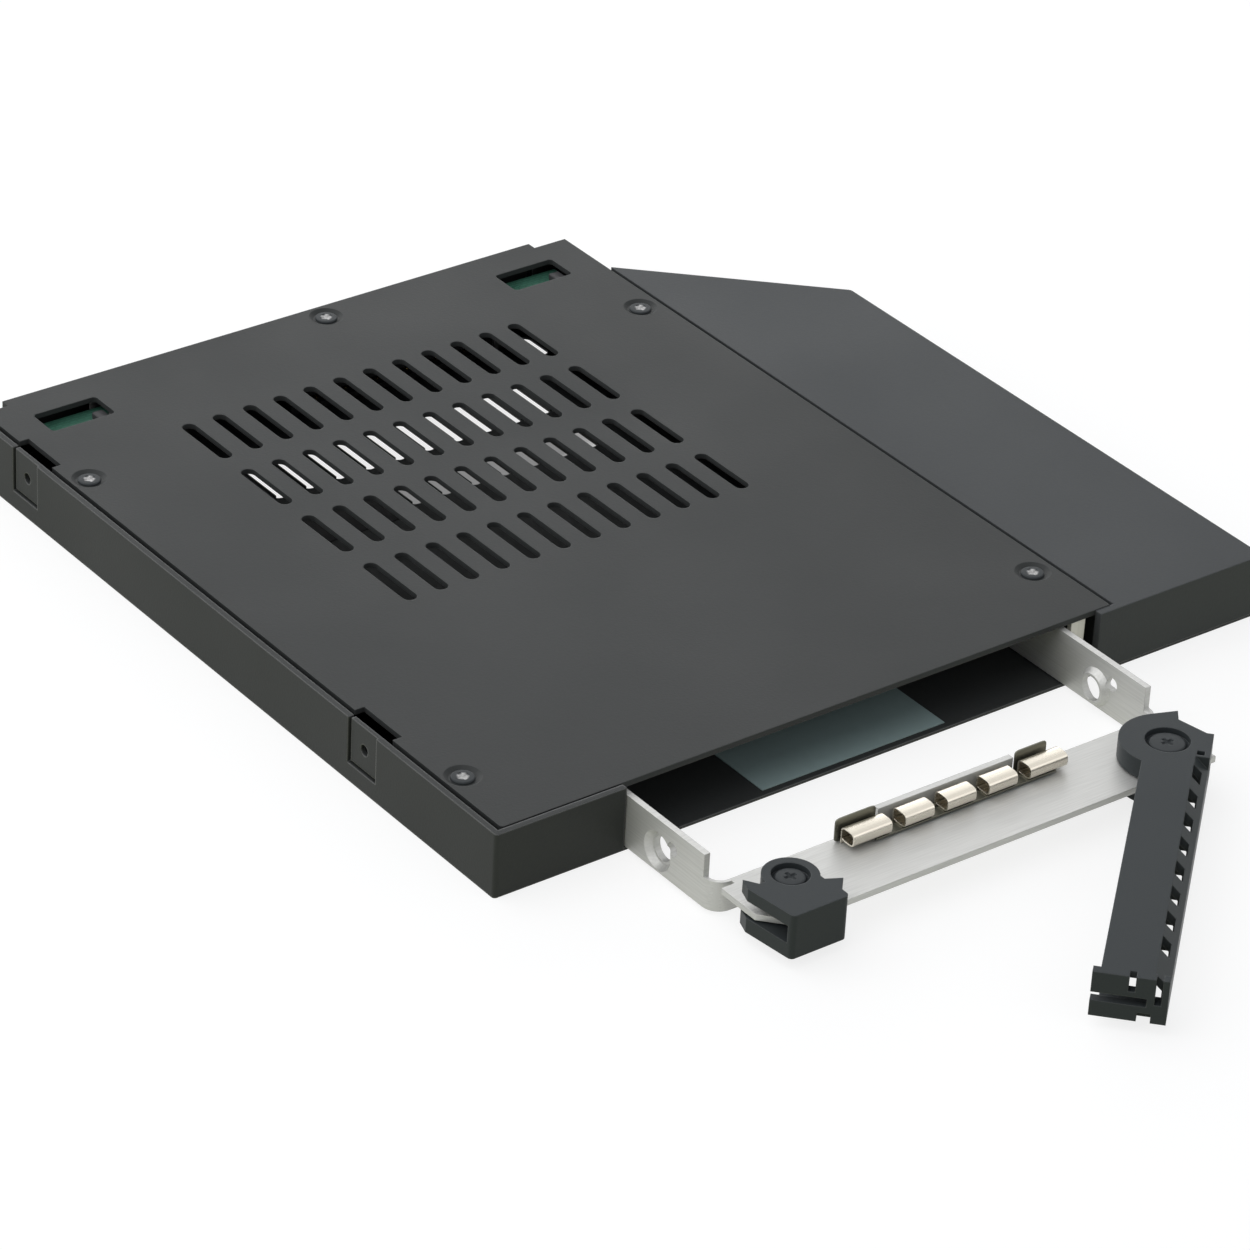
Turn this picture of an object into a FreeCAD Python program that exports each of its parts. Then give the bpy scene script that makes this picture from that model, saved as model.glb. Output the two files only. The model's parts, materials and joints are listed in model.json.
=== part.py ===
import FreeCAD, Part
import math
import os
from types import SimpleNamespace

import Sketcher

# Slim drive bay with a sliding tray, a swinging ejector lever and a rocking latch.
# Housing pieces are drawn from the housing's front left bottom corner, with X to the right and Y back.
# Tray pieces are drawn about the tray's middle plane, with the tray fully in.
# The lever and the latch are drawn about their own pivots, closed.

# Driving sizes, in millimetres, degrees and counts
SIZES = {
    # Housing
    "housing_width": 128.0,
    "housing_depth": 126.4,
    "housing_height": 9.5,
    "bay_width": 101.5,
    "case_wall": 0.9,
    "floor_thick": 0.4,
    "corner_step": 1.5,
    "tongue_inset": 5.5,
    "wing_tongue": 2.5,
    "cheek_depth": 5.0,
    "corner_round": 0.5,
    # Cover
    "cover_thick": 0.8,
    "cover_gap": 0.3,
    "cover_side_gap": 0.75,
    "vent_columns": 12,
    "vent_rows": 4,
    "vent_offset": 0.625,
    "vent_set_back": 24.45,
    "vent_pitch_x": 5.05,
    "vent_pitch_y": 14.85,
    "vent_length": 11.0,
    "vent_width": 2.1,
    "floor_vent_shift": 1.1,
    "short_vent_set_back": 37.6,
    "short_vent_length": 7.6,
    "lone_vent_inset": 13.35,
    "lone_vent_set_back": 12.5,
    "lone_vent_length": 6.0,
    "window_left": 7.0,
    "window_inset": 5.5,
    "window_set_back": 5.6,
    "window_width": 10.2,
    "window_depth": 5.4,
    "window_round": 0.6,
    # Cover screws and their posts
    "screw_left": 4.4,
    "screw_inset": 3.2,
    "screw_front": 13.4,
    "screw_set_back": 24.6,
    "rear_screw_offset": 7.15,
    "rear_screw_set_back": 3.0,
    "dimple_radius": 2.5,
    "dimple_depth": 0.4,
    "dimple_taper": 58.0,
    "screw_head": 1.6,
    "screw_head_height": 0.3,
    "screw_radius": 0.9,
    "screw_length": 4.0,
    "screw_fit": 0.1,
    "post_radius": 2.0,
    "post_gap": 0.4,
    "cross_share": 0.65,
    "cross_width": 0.45,
    "cross_depth": 0.25,
    # Screw tabs in the left wall
    "tab_count": 2,
    "tab_first": 29.2,
    "tab_set_back": 15.2,
    "tab_press": 0.25,
    "tab_width": 5.9,
    "tab_bottom": 3.1,
    "tab_slit": 0.45,
    "tab_hole": 0.8,
    "tab_hole_z": 6.1,
    "notch_width": 8.5,
    "notch_reach": 3.1,
    # Wing
    "wing_gap": 0.7,
    "wing_drop": 0.1,
    "wing_wall": 1.2,
    "wing_side_set_back": 36.5,
    "wing_rear_set_back": 12.2,
    "wing_rib": 0.9,
    "wing_rib_first": 22.0,
    "wing_rib_pitch": 22.0,
    "wing_rib_count": 3,
    "wing_round": 0.8,
    # Rails and strike
    "rail_gap": 0.2,
    "rail_thick": 0.9,
    "rail_foot": 3.4,
    "rail_cover_gap": 0.3,
    "rail_front": 6.0,
    "rail_board_gap": 3.0,
    "strike_gap": 0.4,
    "strike_width": 2.4,
    "strike_thick": 0.8,
    "strike_front": 1.4,
    "strike_cover_gap": 0.2,
    "strike_leg": 9.0,
    "strike_leg_top": 5.0,
    "strike_foot": 3.0,
    # Board and connectors
    "board_left": 5.5,
    "board_inset": 4.5,
    "board_set_back": 5.2,
    "board_depth": 8.2,
    "board_thick": 1.0,
    "board_cover_gap": 1.3,
    "board_post_offset": 11.6,
    "board_post_inset": 17.9,
    "board_post_y": 4.6,
    "board_screw_head": 1.8,
    "board_screw_height": 0.7,
    "board_screw_length": 5.0,
    "receptacle_offset": 4.775,
    "receptacle_width": 38.0,
    "receptacle_y": 3.5,
    "receptacle_depth": 4.4,
    "receptacle_bottom": 1.9,
    "nose_width": 35.0,
    "nose_length": 4.5,
    "nose_bottom": 2.4,
    "nose_board_gap": 0.6,
    "blade_slot_bottom": 3.3,
    "blade_slot_height": 1.5,
    "blade_slot_depth": 6.0,
    "signal_slot": 9.4,
    "power_slot": 19.6,
    "slot_bridge": 2.4,
    "contact_pitch": 1.27,
    "contact_width": 0.6,
    "contact_thick": 0.25,
    "contact_length": 4.6,
    "signal_contacts": 7,
    "power_contacts": 15,
    "host_gap": 0.4,
    "host_width": 23.0,
    "host_depth": 6.2,
    "host_set_back": 0.2,
    "host_bottom": 2.2,
    "host_wall": 0.7,
    "host_cavity": 4.4,
    "host_tongue": 1.1,
    "host_contacts": 13,
    "pad_offset": 1.275,
    "pad_width": 30.4,
    "pad_front": 1.0,
    "pad_depth": 24.0,
    "pad_thick": 0.12,
    # Tray
    "pull_out": 32.6,
    "tray_width": 73.55,
    "tray_margin": 7.6,
    "tray_fit": 0.15,
    "tray_sheet": 0.9,
    "tray_lift": 0.1,
    "arm_cover_gap": 0.4,
    "arm_front": 16.6,
    "arm_end": 4.4,
    "tray_front": 14.0,
    "bend_radius": 1.6,
    "plate_top": 5.0,
    "plate_front": 2.9,
    "plate_inset": 0.45,
    "plate_cut_x": 3.4,
    "plate_cut_y": 3.7,
    "ear_relief": 0.6,
    "fold_round": 0.6,
    "lip_width": 22.2,
    "lip_drop": 0.6,
    "drive_hole_y": 26.0,
    "drive_hole_spacing": 76.6,
    "drive_hole_z": 3.6,
    "drive_hole": 1.75,
    "press_radius": 2.75,
    "press_depth": 0.9,
    "press_taper": 35.0,
    "peg_hole": 1.0,
    "peg_hole_ahead": 3.0,
    "peg_hole_rise": 1.85,
    # Contact strip
    "strip_thick": 0.25,
    "strip_length": 35.2,
    "finger_front": 10.7,
    "finger_rear": 13.4,
    "finger_drop": 0.5,
    "finger_round": 0.9,
    "end_finger": 6.2,
    "inner_finger": 4.7,
    "inner_fingers": 3,
    "strip_tab": 5.9,
    "strip_tab_round": 0.5,
    "strip_tab_gap": 0.3,
    # Pivots
    "pivot_inset": 6.625,
    "plate_clearance": 0.3,
    "bush_fit": 0.1,
    "seat_gap": 0.02,
    "collar_thick": 0.2,
    "collar_edge": 1.0,
    "head_play": 0.05,
    "pivot_head_height": 0.55,
    "pivot_screw": 0.9,
    "pivot_screw_length": 5.0,
    # Ejector lever
    "lever_open": 43.0,
    "tip_gap": 0.7,
    "lever_front": 5.75,
    "lever_back": 2.8,
    "lever_bevel": 1.9,
    "lever_wall": 1.0,
    "lever_bottom": 1.7,
    "lever_cover_gap": 0.6,
    "hub_radius": 6.4,
    "head_reach": 3.0,
    "head_corner": 2.9,
    "cam_reach": 7.4,
    "cam_tip_y": 0.6,
    "cam_step": 5.3,
    "cam_step_y": 0.9,
    "cam_slope_y": 4.8,
    "cam_back_angle": 26.0,
    "lever_bush": 1.8,
    "lever_recess": 3.0,
    "lever_recess_depth": 0.9,
    "lever_screw_head": 2.5,
    "grille_first": 6.5,
    "grille_last": 8.34,
    "grille_length": 3.0,
    "grille_rim": 0.75,
    "grille_count": 8,
    "rib_thick": 0.9,
    "rib_reach": 3.0,
    "rib_drop": 0.48,
    "spy_hole": 1.0,
    "spy_hole_x": 1.6,
    "spy_hole_depth": 1.2,
    "tip_wall": 1.3,
    "tip_web": 4.4,
    "tip_web_thick": 1.0,
    "tip_clearance": 0.15,
    "tip_hook": 3.75,
    "tip_slit": 0.85,
    "tip_slit_one": 1.2,
    "tip_slit_two": 4.5,
    "tip_slit_one_z": 5.9,
    "tip_slit_two_z": 4.4,
    "tip_notch_start": 2.1,
    "tip_notch_width": 1.7,
    "tip_notch_height": 1.3,
    # Latch block
    "latch_front": 7.7,
    "latch_left": 5.5,
    "latch_right": 3.3,
    "latch_spine": 0.9,
    "latch_jaw": 1.8,
    "latch_hub": 3.7,
    "latch_neck": 2.9,
    "latch_neck_y": 3.1,
    "catch_reach": 5.0,
    "catch_y": 4.2,
    "catch_root_y": 6.0,
    "hook_reach": 6.5,
    "hook_y": 0.2,
    "hook_back": 5.8,
    "hook_back_y": 2.2,
    "hook_notch": 4.6,
    "hook_notch_y": 0.4,
    "latch_round": 0.7,
    "latch_bush": 1.4,
    "latch_recess": 2.5,
    "latch_recess_depth": 0.9,
    "latch_screw_head": 2.05,
    "spring_wire": 0.36,
    "spring_radius": 2.2,
    "spring_pitch": 0.45,
    "spring_turns": 3,
    "spring_room": 0.3,
}

Vector = FreeCAD.Vector
ORIGIN, START, END, CENTRE = -1, *range(1, 4)
UP = Vector(0, 0, 1)
NEAR = 1e-4


class Size:
    """A length that carries its spreadsheet formula and its present value."""

    def __init__(self, formula, value):
        self.formula = formula
        self.value = value

    def __add__(self, other):
        return Size(f"{self.formula} + {other.formula}", self.value + other.value)

    def __sub__(self, other):
        return Size(f"{self.formula} - ({other.formula})", self.value - other.value)

    def __neg__(self):
        return Size(f"-({self.formula})", -self.value)

    def __mul__(self, other):
        other = other if isinstance(other, Size) else Size(str(other), other)
        return Size(f"({self.formula}) * ({other.formula})", self.value * other.value)

    def __truediv__(self, other):
        other = other if isinstance(other, Size) else Size(str(other), other)
        return Size(f"({self.formula}) / ({other.formula})", self.value / other.value)

    def root(self):
        return Size(f"sqrt({self.formula})", math.sqrt(self.value))

    def sine(self):
        return Size(f"sin(({self.formula}) * 1 deg)", math.sin(math.radians(self.value)))


def make_sheet(document):
    """Write the driving sizes to a spreadsheet and return them as named Size values."""
    sheet = document.addObject("Spreadsheet::Sheet", "Sizes")
    for row, (name, value) in enumerate(SIZES.items(), 1):
        sheet.set(f"A{row}", name)
        sheet.set(f"B{row}", str(value))
        sheet.setAlias(f"B{row}", name)
    document.recompute()
    return SimpleNamespace(**{name: Size(f"Sizes.{name}", float(sheet.get(name))) for name in SIZES})


doc = FreeCAD.newDocument("DriveCaddy")
d = make_sheet(doc)
ZERO = Size("0", 0.0)
ONE = Size("1", 1.0)

# Places that several pieces share
SEAT = d.housing_height - d.cover_thick
STEP = d.housing_depth - d.corner_step
TONGUE_RIGHT = d.bay_width - d.tongue_inset
COVER_LEFT = d.case_wall + d.cover_side_gap
COVER_FRONT = d.case_wall + d.cover_gap
WING_SIDE = d.housing_depth - d.wing_side_set_back
WING_REAR = d.housing_depth - d.wing_rear_set_back
WINDOW_LEFTS = [d.window_left, d.bay_width - d.window_inset - d.window_width]
WINDOW_BACK = d.housing_depth - d.window_set_back
TAB_SPACING = d.housing_depth - d.tab_set_back - d.tab_first
TRAY_HALF = d.tray_width / 2
TRAY_RIGHT = d.bay_width - d.tray_margin
TRAY_LEFT = TRAY_RIGHT - d.tray_width
TRAY_CENTRE = TRAY_RIGHT - TRAY_HALF
MOUTH_LEFT = TRAY_LEFT - d.tray_fit
MOUTH_RIGHT = d.bay_width - d.wing_tongue
ARM_BOTTOM = d.floor_thick + d.pad_thick + d.tray_lift
LEVER_TOP = SEAT - d.lever_cover_gap
FINGER_TOP = LEVER_TOP - d.finger_drop
PLATE_BOTTOM = d.plate_top - d.tray_sheet
WALL_BACK = d.tray_front + d.tray_sheet
SLOT_BOTTOM = PLATE_BOTTOM - d.plate_clearance
SLOT_TOP = d.plate_top + d.plate_clearance
ARM_REAR = d.drive_hole_y + d.drive_hole_spacing + d.arm_end
PIVOT_X = TRAY_HALF - d.pivot_inset
LEVER_LENGTH = PIVOT_X * 2 - d.catch_reach - d.tip_gap
BOARD_REAR = d.housing_depth - d.board_set_back
BOARD_FRONT = BOARD_REAR - d.board_depth
BOARD_TOP = SEAT - d.board_cover_gap
BOARD_BOTTOM = BOARD_TOP - d.board_thick
RECEPTACLE_X = TRAY_CENTRE + d.receptacle_offset
RECEPTACLE_FRONT = BOARD_FRONT + d.receptacle_y
HOST_X = RECEPTACLE_X - d.receptacle_width / 2 - d.host_gap - d.host_width / 2
SCREW_RIGHT = d.bay_width - d.screw_inset
SCREW_BACK = d.housing_depth - d.screw_set_back
COVER_SCREWS = [
    (d.screw_left, d.screw_front),
    (SCREW_RIGHT, d.screw_front),
    (d.screw_left, SCREW_BACK),
    (SCREW_RIGHT, SCREW_BACK),
    (d.bay_width / 2 + d.rear_screw_offset, d.housing_depth - d.rear_screw_set_back),
]
BOARD_SCREWS = [
    (HOST_X - d.board_post_offset, BOARD_FRONT + d.board_post_y),
    (d.bay_width - d.board_post_inset, BOARD_FRONT + d.board_post_y),
]


# Binding and placing

def bind(item, target, size):
    item.setExpression(target, size.formula)


def put(item, x, y, z):
    for axis, size in zip("xyz", (x, y, z)):
        bind(item, f"Placement.Base.{axis}", size)
    return item


def in_housing(item):
    return put(item, -d.housing_width / 2, -d.housing_depth / 2, ZERO)


def in_tray(item, x=ZERO, y=ZERO):
    return put(item, TRAY_CENTRE - d.housing_width / 2 + x, y - d.housing_depth / 2 - d.pull_out, ZERO)


# Sketches

def new_body(label):
    return doc.addObject("PartDesign::Body", label)


def sketch_on(body, name, height=ZERO, plane="XY_Plane"):
    """Start a sketch on one of the body's origin planes, raised along the plane's normal."""
    sketch = body.newObject("Sketcher::SketchObject", name)
    support = [item for item in body.Origin.OriginFeatures if item.Role == plane][0]
    sketch.AttachmentSupport = (support, [""])
    sketch.MapMode = "FlatFace"
    bind(sketch, "AttachmentOffset.Base.z", height)
    return sketch


def pin(sketch, shape, point, x, y):
    """Fix one point of a sketched shape by its bound distances from the origin."""
    for kind, size in (("DistanceX", x), ("DistanceY", y)):
        number = sketch.addConstraint(Sketcher.Constraint(kind, ORIGIN, START, shape, point, size.value))
        bind(sketch, f"Constraints[{number}]", size)


def set_radius(sketch, shape, radius):
    number = sketch.addConstraint(Sketcher.Constraint("Radius", shape, radius.value))
    bind(sketch, f"Constraints[{number}]", radius)


def draw_polygon(sketch, corners):
    first = sketch.GeometryCount
    count = len(corners)
    points = [Vector(x.value, y.value, 0) for x, y in corners]
    for i in range(count):
        sketch.addGeometry(Part.LineSegment(points[i], points[(i + 1) % count]))
    for i in range(count):
        following = first + (i + 1) % count
        sketch.addConstraint(Sketcher.Constraint("Coincident", first + i, END, following, START))
    for i, (x, y) in enumerate(corners):
        pin(sketch, first + i, START, x, y)


def draw_rectangle(sketch, left, front, right, back):
    draw_polygon(sketch, [(left, front), (right, front), (right, back), (left, back)])


def draw_circle(sketch, x, y, radius):
    circle = sketch.addGeometry(Part.Circle(Vector(x.value, y.value, 0), UP, radius.value))
    pin(sketch, circle, CENTRE, x, y)
    set_radius(sketch, circle, radius)


def draw_slot(sketch, x, y, length, width):
    """A round-ended slot along Y about the point x, y."""
    radius = width / 2
    reach = length / 2 - radius
    near = Vector(x.value, y.value - reach.value, 0)
    far = Vector(x.value, y.value + reach.value, 0)
    side = Vector(radius.value, 0, 0)
    back = sketch.addGeometry(Part.ArcOfCircle(Part.Circle(far, UP, radius.value), 0, math.pi))
    left = sketch.addGeometry(Part.LineSegment(far - side, near - side))
    front = sketch.addGeometry(Part.ArcOfCircle(Part.Circle(near, UP, radius.value), math.pi, 2 * math.pi))
    right = sketch.addGeometry(Part.LineSegment(near + side, far + side))
    for one, two in ((back, left), (left, front), (front, right), (right, back)):
        sketch.addConstraint(Sketcher.Constraint("Tangent", one, END, two, START))
    sketch.addConstraint(Sketcher.Constraint("Equal", back, front))
    pin(sketch, back, CENTRE, x, y + reach)
    pin(sketch, front, CENTRE, x, y - reach)
    set_radius(sketch, back, radius)


# Features

def pad(body, sketch, length):
    feature = body.newObject("PartDesign::Pad", f"{sketch.Name}_pad")
    feature.Profile = sketch
    bind(feature, "Length", length)
    return feature


def pocket(body, sketch, depth, along_normal=False):
    feature = body.newObject("PartDesign::Pocket", f"{sketch.Name}_pocket")
    feature.Profile = sketch
    feature.Reversed = along_normal
    bind(feature, "Length", depth)
    return feature


def repeat(body, features, sketch, pitch, count, backwards=False):
    """Repeat features along the sketch's own horizontal axis."""
    pattern = body.newObject("PartDesign::LinearPattern", f"{sketch.Name}_row")
    pattern.Originals = features
    pattern.Direction = (sketch, ["H_Axis"])
    pattern.Reversed = backwards
    pattern.Mode = "Spacing"
    bind(pattern, "Offset", pitch)
    bind(pattern, "Occurrences", count)
    body.Tip = pattern


def mirror(body, features, plane="YZ_Plane"):
    feature = body.newObject("PartDesign::Mirrored", f"{features[0].Name}_mirrored")
    feature.Originals = features
    support = [item for item in body.Origin.OriginFeatures if item.Role == plane][0]
    feature.MirrorPlane = (support, [""])
    body.Tip = feature


def round_edges(body, radius, axis, places):
    """Fillet the body's straight edges along one axis that run through the given places."""
    doc.recompute()
    base = body.Tip
    across = [number for number, name in enumerate("XYZ") if name != axis]
    names = []
    for number, edge in enumerate(base.Shape.Edges, 1):
        ends = [vertex.Point for vertex in edge.Vertexes]
        for place in places:
            if all(abs(end[i] - size.value) < NEAR for end in ends for i, size in zip(across, place)):
                names.append(f"Edge{number}")
    feature = body.newObject("PartDesign::Fillet", f"{base.Name}_rounded")
    feature.Base = (base, names)
    bind(feature, "Radius", radius)


# Solid primitives

def box(name, x, y, z, width, depth, height):
    item = doc.addObject("Part::Box", name)
    for target, size in (("Length", width), ("Width", depth), ("Height", height)):
        bind(item, target, size)
    return put(item, x, y, z)


def cylinder(name, x, y, z, radius, height):
    item = doc.addObject("Part::Cylinder", name)
    bind(item, "Radius", radius)
    bind(item, "Height", height)
    return put(item, x, y, z)


def fuse(name, shapes):
    item = doc.addObject("Part::MultiFuse", name)
    item.Shapes = shapes
    return item


def cut(name, base, tool):
    item = doc.addObject("Part::Cut", name)
    item.Base = base
    item.Tool = tool
    return item


def group(label, shapes):
    item = doc.addObject("Part::Compound", label)
    item.Links = shapes
    return item


def screw(name, x, y, seat, head, height, radius, length):
    """A flat-headed cross-recessed screw whose head sits on the level called seat."""
    shank = cylinder(f"{name}_shank", x, y, seat - length, radius, length)
    flat = cylinder(f"{name}_head", x, y, seat, head, height)
    reach = head * d.cross_share
    half = d.cross_width / 2
    floor = seat + height - d.cross_depth
    along = box(f"{name}_cross_x", x - reach, y - half, floor, reach * 2, d.cross_width, d.cross_depth)
    across = box(f"{name}_cross_y", x - half, y - reach, floor, d.cross_width, reach * 2, d.cross_depth)
    blank = fuse(f"{name}_blank", [shank, flat])
    return cut(name, blank, fuse(f"{name}_cross", [along, across]))


def tube(name, x, y, z, radius, bore, height):
    outer = cylinder(f"{name}_outer", x, y, z, radius, height)
    return cut(name, outer, cylinder(f"{name}_bore", x, y, z, bore, height))


# Housing

def bay_outline(inset):
    """Plan of the bay under the cover, with the rear tongue between set-back corners."""
    right = d.bay_width - inset
    step = STEP - inset
    rear = d.housing_depth - inset
    tongue_left = d.tongue_inset + inset
    tongue_right = TONGUE_RIGHT - inset
    return [
        (inset, inset), (right, inset), (right, step), (tongue_right, step),
        (tongue_right, rear), (tongue_left, rear), (tongue_left, step), (inset, step),
    ]


def cut_vents(body, name, level, thick, shift, slots):
    """A field of round-ended slots: one column, each slot by its set-back and length, repeated to the right."""
    column = sketch_on(body, name, level)
    half_field = d.vent_pitch_x * (d.vent_columns - ONE) / 2
    x = d.bay_width / 2 + d.vent_offset - half_field - shift
    for set_back, length in slots:
        draw_slot(column, x, d.housing_depth - set_back, length, d.vent_width)
    repeat(body, [pocket(body, column, thick)], column, d.vent_pitch_x, d.vent_columns)


def bottom_case():
    """Folded pan: floor, bay walls, left wall with screw tabs, left front cheek."""
    body = new_body("bottom_case")
    floor = sketch_on(body, "case_floor")
    draw_polygon(floor, [
        (ZERO, ZERO), (d.housing_width, ZERO), (d.housing_width, WING_SIDE), (d.bay_width, WING_REAR),
        (d.bay_width, STEP), (TONGUE_RIGHT, STEP), (TONGUE_RIGHT, d.housing_depth),
        (d.tongue_inset, d.housing_depth), (d.tongue_inset, STEP), (ZERO, STEP),
    ])
    pad(body, floor, d.floor_thick)

    walls = sketch_on(body, "case_walls")
    draw_polygon(walls, bay_outline(ZERO))
    draw_polygon(walls, bay_outline(d.case_wall))
    pad(body, walls, SEAT)

    rim = sketch_on(body, "case_rim")
    draw_polygon(rim, [
        (ZERO, ZERO), (MOUTH_LEFT, ZERO), (MOUTH_LEFT, d.case_wall), (d.case_wall, d.case_wall),
        (d.case_wall, STEP), (ZERO, STEP),
    ])
    pad(body, rim, d.housing_height)

    cheek = sketch_on(body, "case_cheek")
    draw_rectangle(cheek, MOUTH_LEFT - d.case_wall, ZERO, MOUTH_LEFT, d.cheek_depth)
    pad(body, cheek, SEAT)

    mouth = sketch_on(body, "case_mouth", d.housing_height)
    draw_rectangle(mouth, MOUTH_LEFT, ZERO, d.bay_width, d.wing_wall + d.wing_gap)
    pocket(body, mouth, d.housing_height - d.floor_thick)

    host = sketch_on(body, "case_host_window", BOARD_BOTTOM + d.cover_gap)
    reach = d.host_width / 2 + d.cover_gap
    draw_rectangle(host, HOST_X - reach, STEP, HOST_X + reach, d.housing_depth)
    pocket(body, host, BOARD_BOTTOM - d.host_bottom + d.cover_gap * 2)

    floor_slots = [(d.vent_set_back, d.vent_length), (d.short_vent_set_back, d.short_vent_length)]
    cut_vents(body, "case_vent", d.floor_thick, d.floor_thick, d.floor_vent_shift, floor_slots)
    lone = sketch_on(body, "case_lone_vent", d.floor_thick)
    lone_x = d.bay_width - d.lone_vent_inset
    draw_slot(lone, lone_x, d.housing_depth - d.lone_vent_set_back, d.lone_vent_length, d.vent_width)
    pocket(body, lone, d.floor_thick)

    hole = sketch_on(body, "case_tab_hole", d.case_wall, "YZ_Plane")
    draw_circle(hole, d.tab_first, d.tab_hole_z, d.tab_hole)
    drilled = pocket(body, hole, d.case_wall)
    slit = sketch_on(body, "case_tab_slit", d.case_wall, "YZ_Plane")
    front = d.tab_first - d.tab_width / 2
    back = d.tab_first + d.tab_width / 2
    under = d.tab_bottom - d.tab_slit
    draw_polygon(slit, [
        (front, under), (back + d.tab_slit, under), (back + d.tab_slit, d.housing_height),
        (back, d.housing_height), (back, d.tab_bottom), (front, d.tab_bottom),
    ])
    slitted = pocket(body, slit, d.case_wall)
    press = sketch_on(body, "case_tab_press", ZERO, "YZ_Plane")
    draw_rectangle(press, front, d.tab_bottom, back, d.housing_height)
    pressed = pocket(body, press, d.tab_press, along_normal=True)
    repeat(body, [drilled, slitted, pressed], slit, TAB_SPACING, d.tab_count)

    round_edges(body, d.corner_round, "Z", [(ZERO, ZERO), (ZERO, STEP)])
    return in_housing(body)


def top_cover():
    """Flat slotted sheet, flush with the rim, with dimpled screw holes and two rear windows."""
    body = new_body("top_cover")
    sheet = sketch_on(body, "cover_sheet", SEAT)
    draw_polygon(sheet, [
        (COVER_LEFT, COVER_FRONT), (d.bay_width, COVER_FRONT), (d.bay_width, STEP), (TONGUE_RIGHT, STEP),
        (TONGUE_RIGHT, d.housing_depth), (d.tongue_inset, d.housing_depth), (d.tongue_inset, STEP),
        (COVER_LEFT, STEP),
    ])
    pad(body, sheet, d.cover_thick)
    round_edges(body, d.corner_round, "Z", [(COVER_LEFT, COVER_FRONT), (COVER_LEFT, STEP)])

    dimples = sketch_on(body, "cover_dimples", d.housing_height)
    for x, y in COVER_SCREWS:
        draw_circle(dimples, x, y, d.dimple_radius)
    dimpled = pocket(body, dimples, d.dimple_depth)
    bind(dimpled, "TaperAngle", -d.dimple_taper)
    holes = sketch_on(body, "cover_holes", d.housing_height)
    for x, y in COVER_SCREWS:
        draw_circle(holes, x, y, d.screw_radius + d.screw_fit)
    pocket(body, holes, d.cover_thick)

    windows = sketch_on(body, "cover_windows", d.housing_height)
    front = WINDOW_BACK - d.window_depth
    for left in WINDOW_LEFTS:
        draw_rectangle(windows, left, front, left + d.window_width, WINDOW_BACK)
    pocket(body, windows, d.cover_thick)
    round_edges(body, d.window_round, "Z", [
        (x, y)
        for left in WINDOW_LEFTS
        for x in (left, left + d.window_width)
        for y in (front, WINDOW_BACK)
    ])

    notch = sketch_on(body, "cover_notch", d.housing_height)
    for middle in (d.tab_first, d.tab_first + TAB_SPACING):
        half = d.notch_width / 2
        draw_rectangle(notch, ZERO, middle - half, d.notch_reach, middle + half)
    pocket(body, notch, d.cover_thick)

    slots = [
        (d.vent_set_back + d.vent_pitch_y * row, d.vent_length) for row in range(int(d.vent_rows.value))
    ]
    cut_vents(body, "cover_vent", d.housing_height, d.cover_thick, ZERO, slots)
    return in_housing(body)


def wing_shell():
    """Moulded wing, hollow and open below, with a bevelled rear corner and a tongue at the mouth."""
    body = new_body("wing_shell")
    left = d.bay_width + d.wing_gap
    top = d.housing_height - d.wing_drop
    run = d.housing_width - left
    rise = WING_REAR - WING_SIDE
    slope = rise / run
    lean = d.wing_wall * (run * run + rise * rise).root() / run
    inner_left = left + d.wing_wall
    inner_right = d.housing_width - d.wing_wall

    outline = sketch_on(body, "wing_outline", d.floor_thick)
    draw_polygon(outline, [
        (MOUTH_RIGHT, ZERO), (d.housing_width, ZERO), (d.housing_width, WING_SIDE),
        (left, WING_REAR), (left, d.wing_wall), (MOUTH_RIGHT, d.wing_wall),
    ])
    pad(body, outline, top - d.floor_thick)
    round_edges(body, d.wing_round, "Z", [(d.housing_width, ZERO), (d.housing_width, WING_SIDE)])

    hollow = sketch_on(body, "wing_hollow", d.floor_thick)
    draw_polygon(hollow, [
        (inner_left, d.wing_wall), (inner_right, d.wing_wall),
        (inner_right, WING_SIDE + slope * d.wing_wall - lean),
        (inner_left, WING_REAR - slope * d.wing_wall - lean),
    ])
    pocket(body, hollow, top - d.wing_wall - d.floor_thick, along_normal=True)

    rib = sketch_on(body, "wing_rib", d.floor_thick)
    for number in range(int(d.wing_rib_count.value)):
        front = d.wing_rib_first + d.wing_rib_pitch * number
        draw_rectangle(rib, inner_left, front, inner_right, front + d.wing_rib)
    pad(body, rib, top - d.wing_wall - d.floor_thick)
    return in_housing(body)


def cover_screws():
    seat = d.housing_height - d.dimple_depth
    size = (d.screw_head, d.screw_head_height, d.screw_radius, d.screw_length)
    screws = [screw(f"cover_screw_{i}", x, y, seat, *size) for i, (x, y) in enumerate(COVER_SCREWS)]
    return in_housing(group("cover_screws", screws))


def cover_posts():
    bore = d.screw_radius + d.screw_fit
    height = SEAT - d.floor_thick
    posts = [
        tube(f"cover_post_{i}", x, y, d.floor_thick, d.post_radius, bore, height)
        for i, (x, y) in enumerate(COVER_SCREWS)
    ]
    return in_housing(group("cover_posts", posts))


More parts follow.
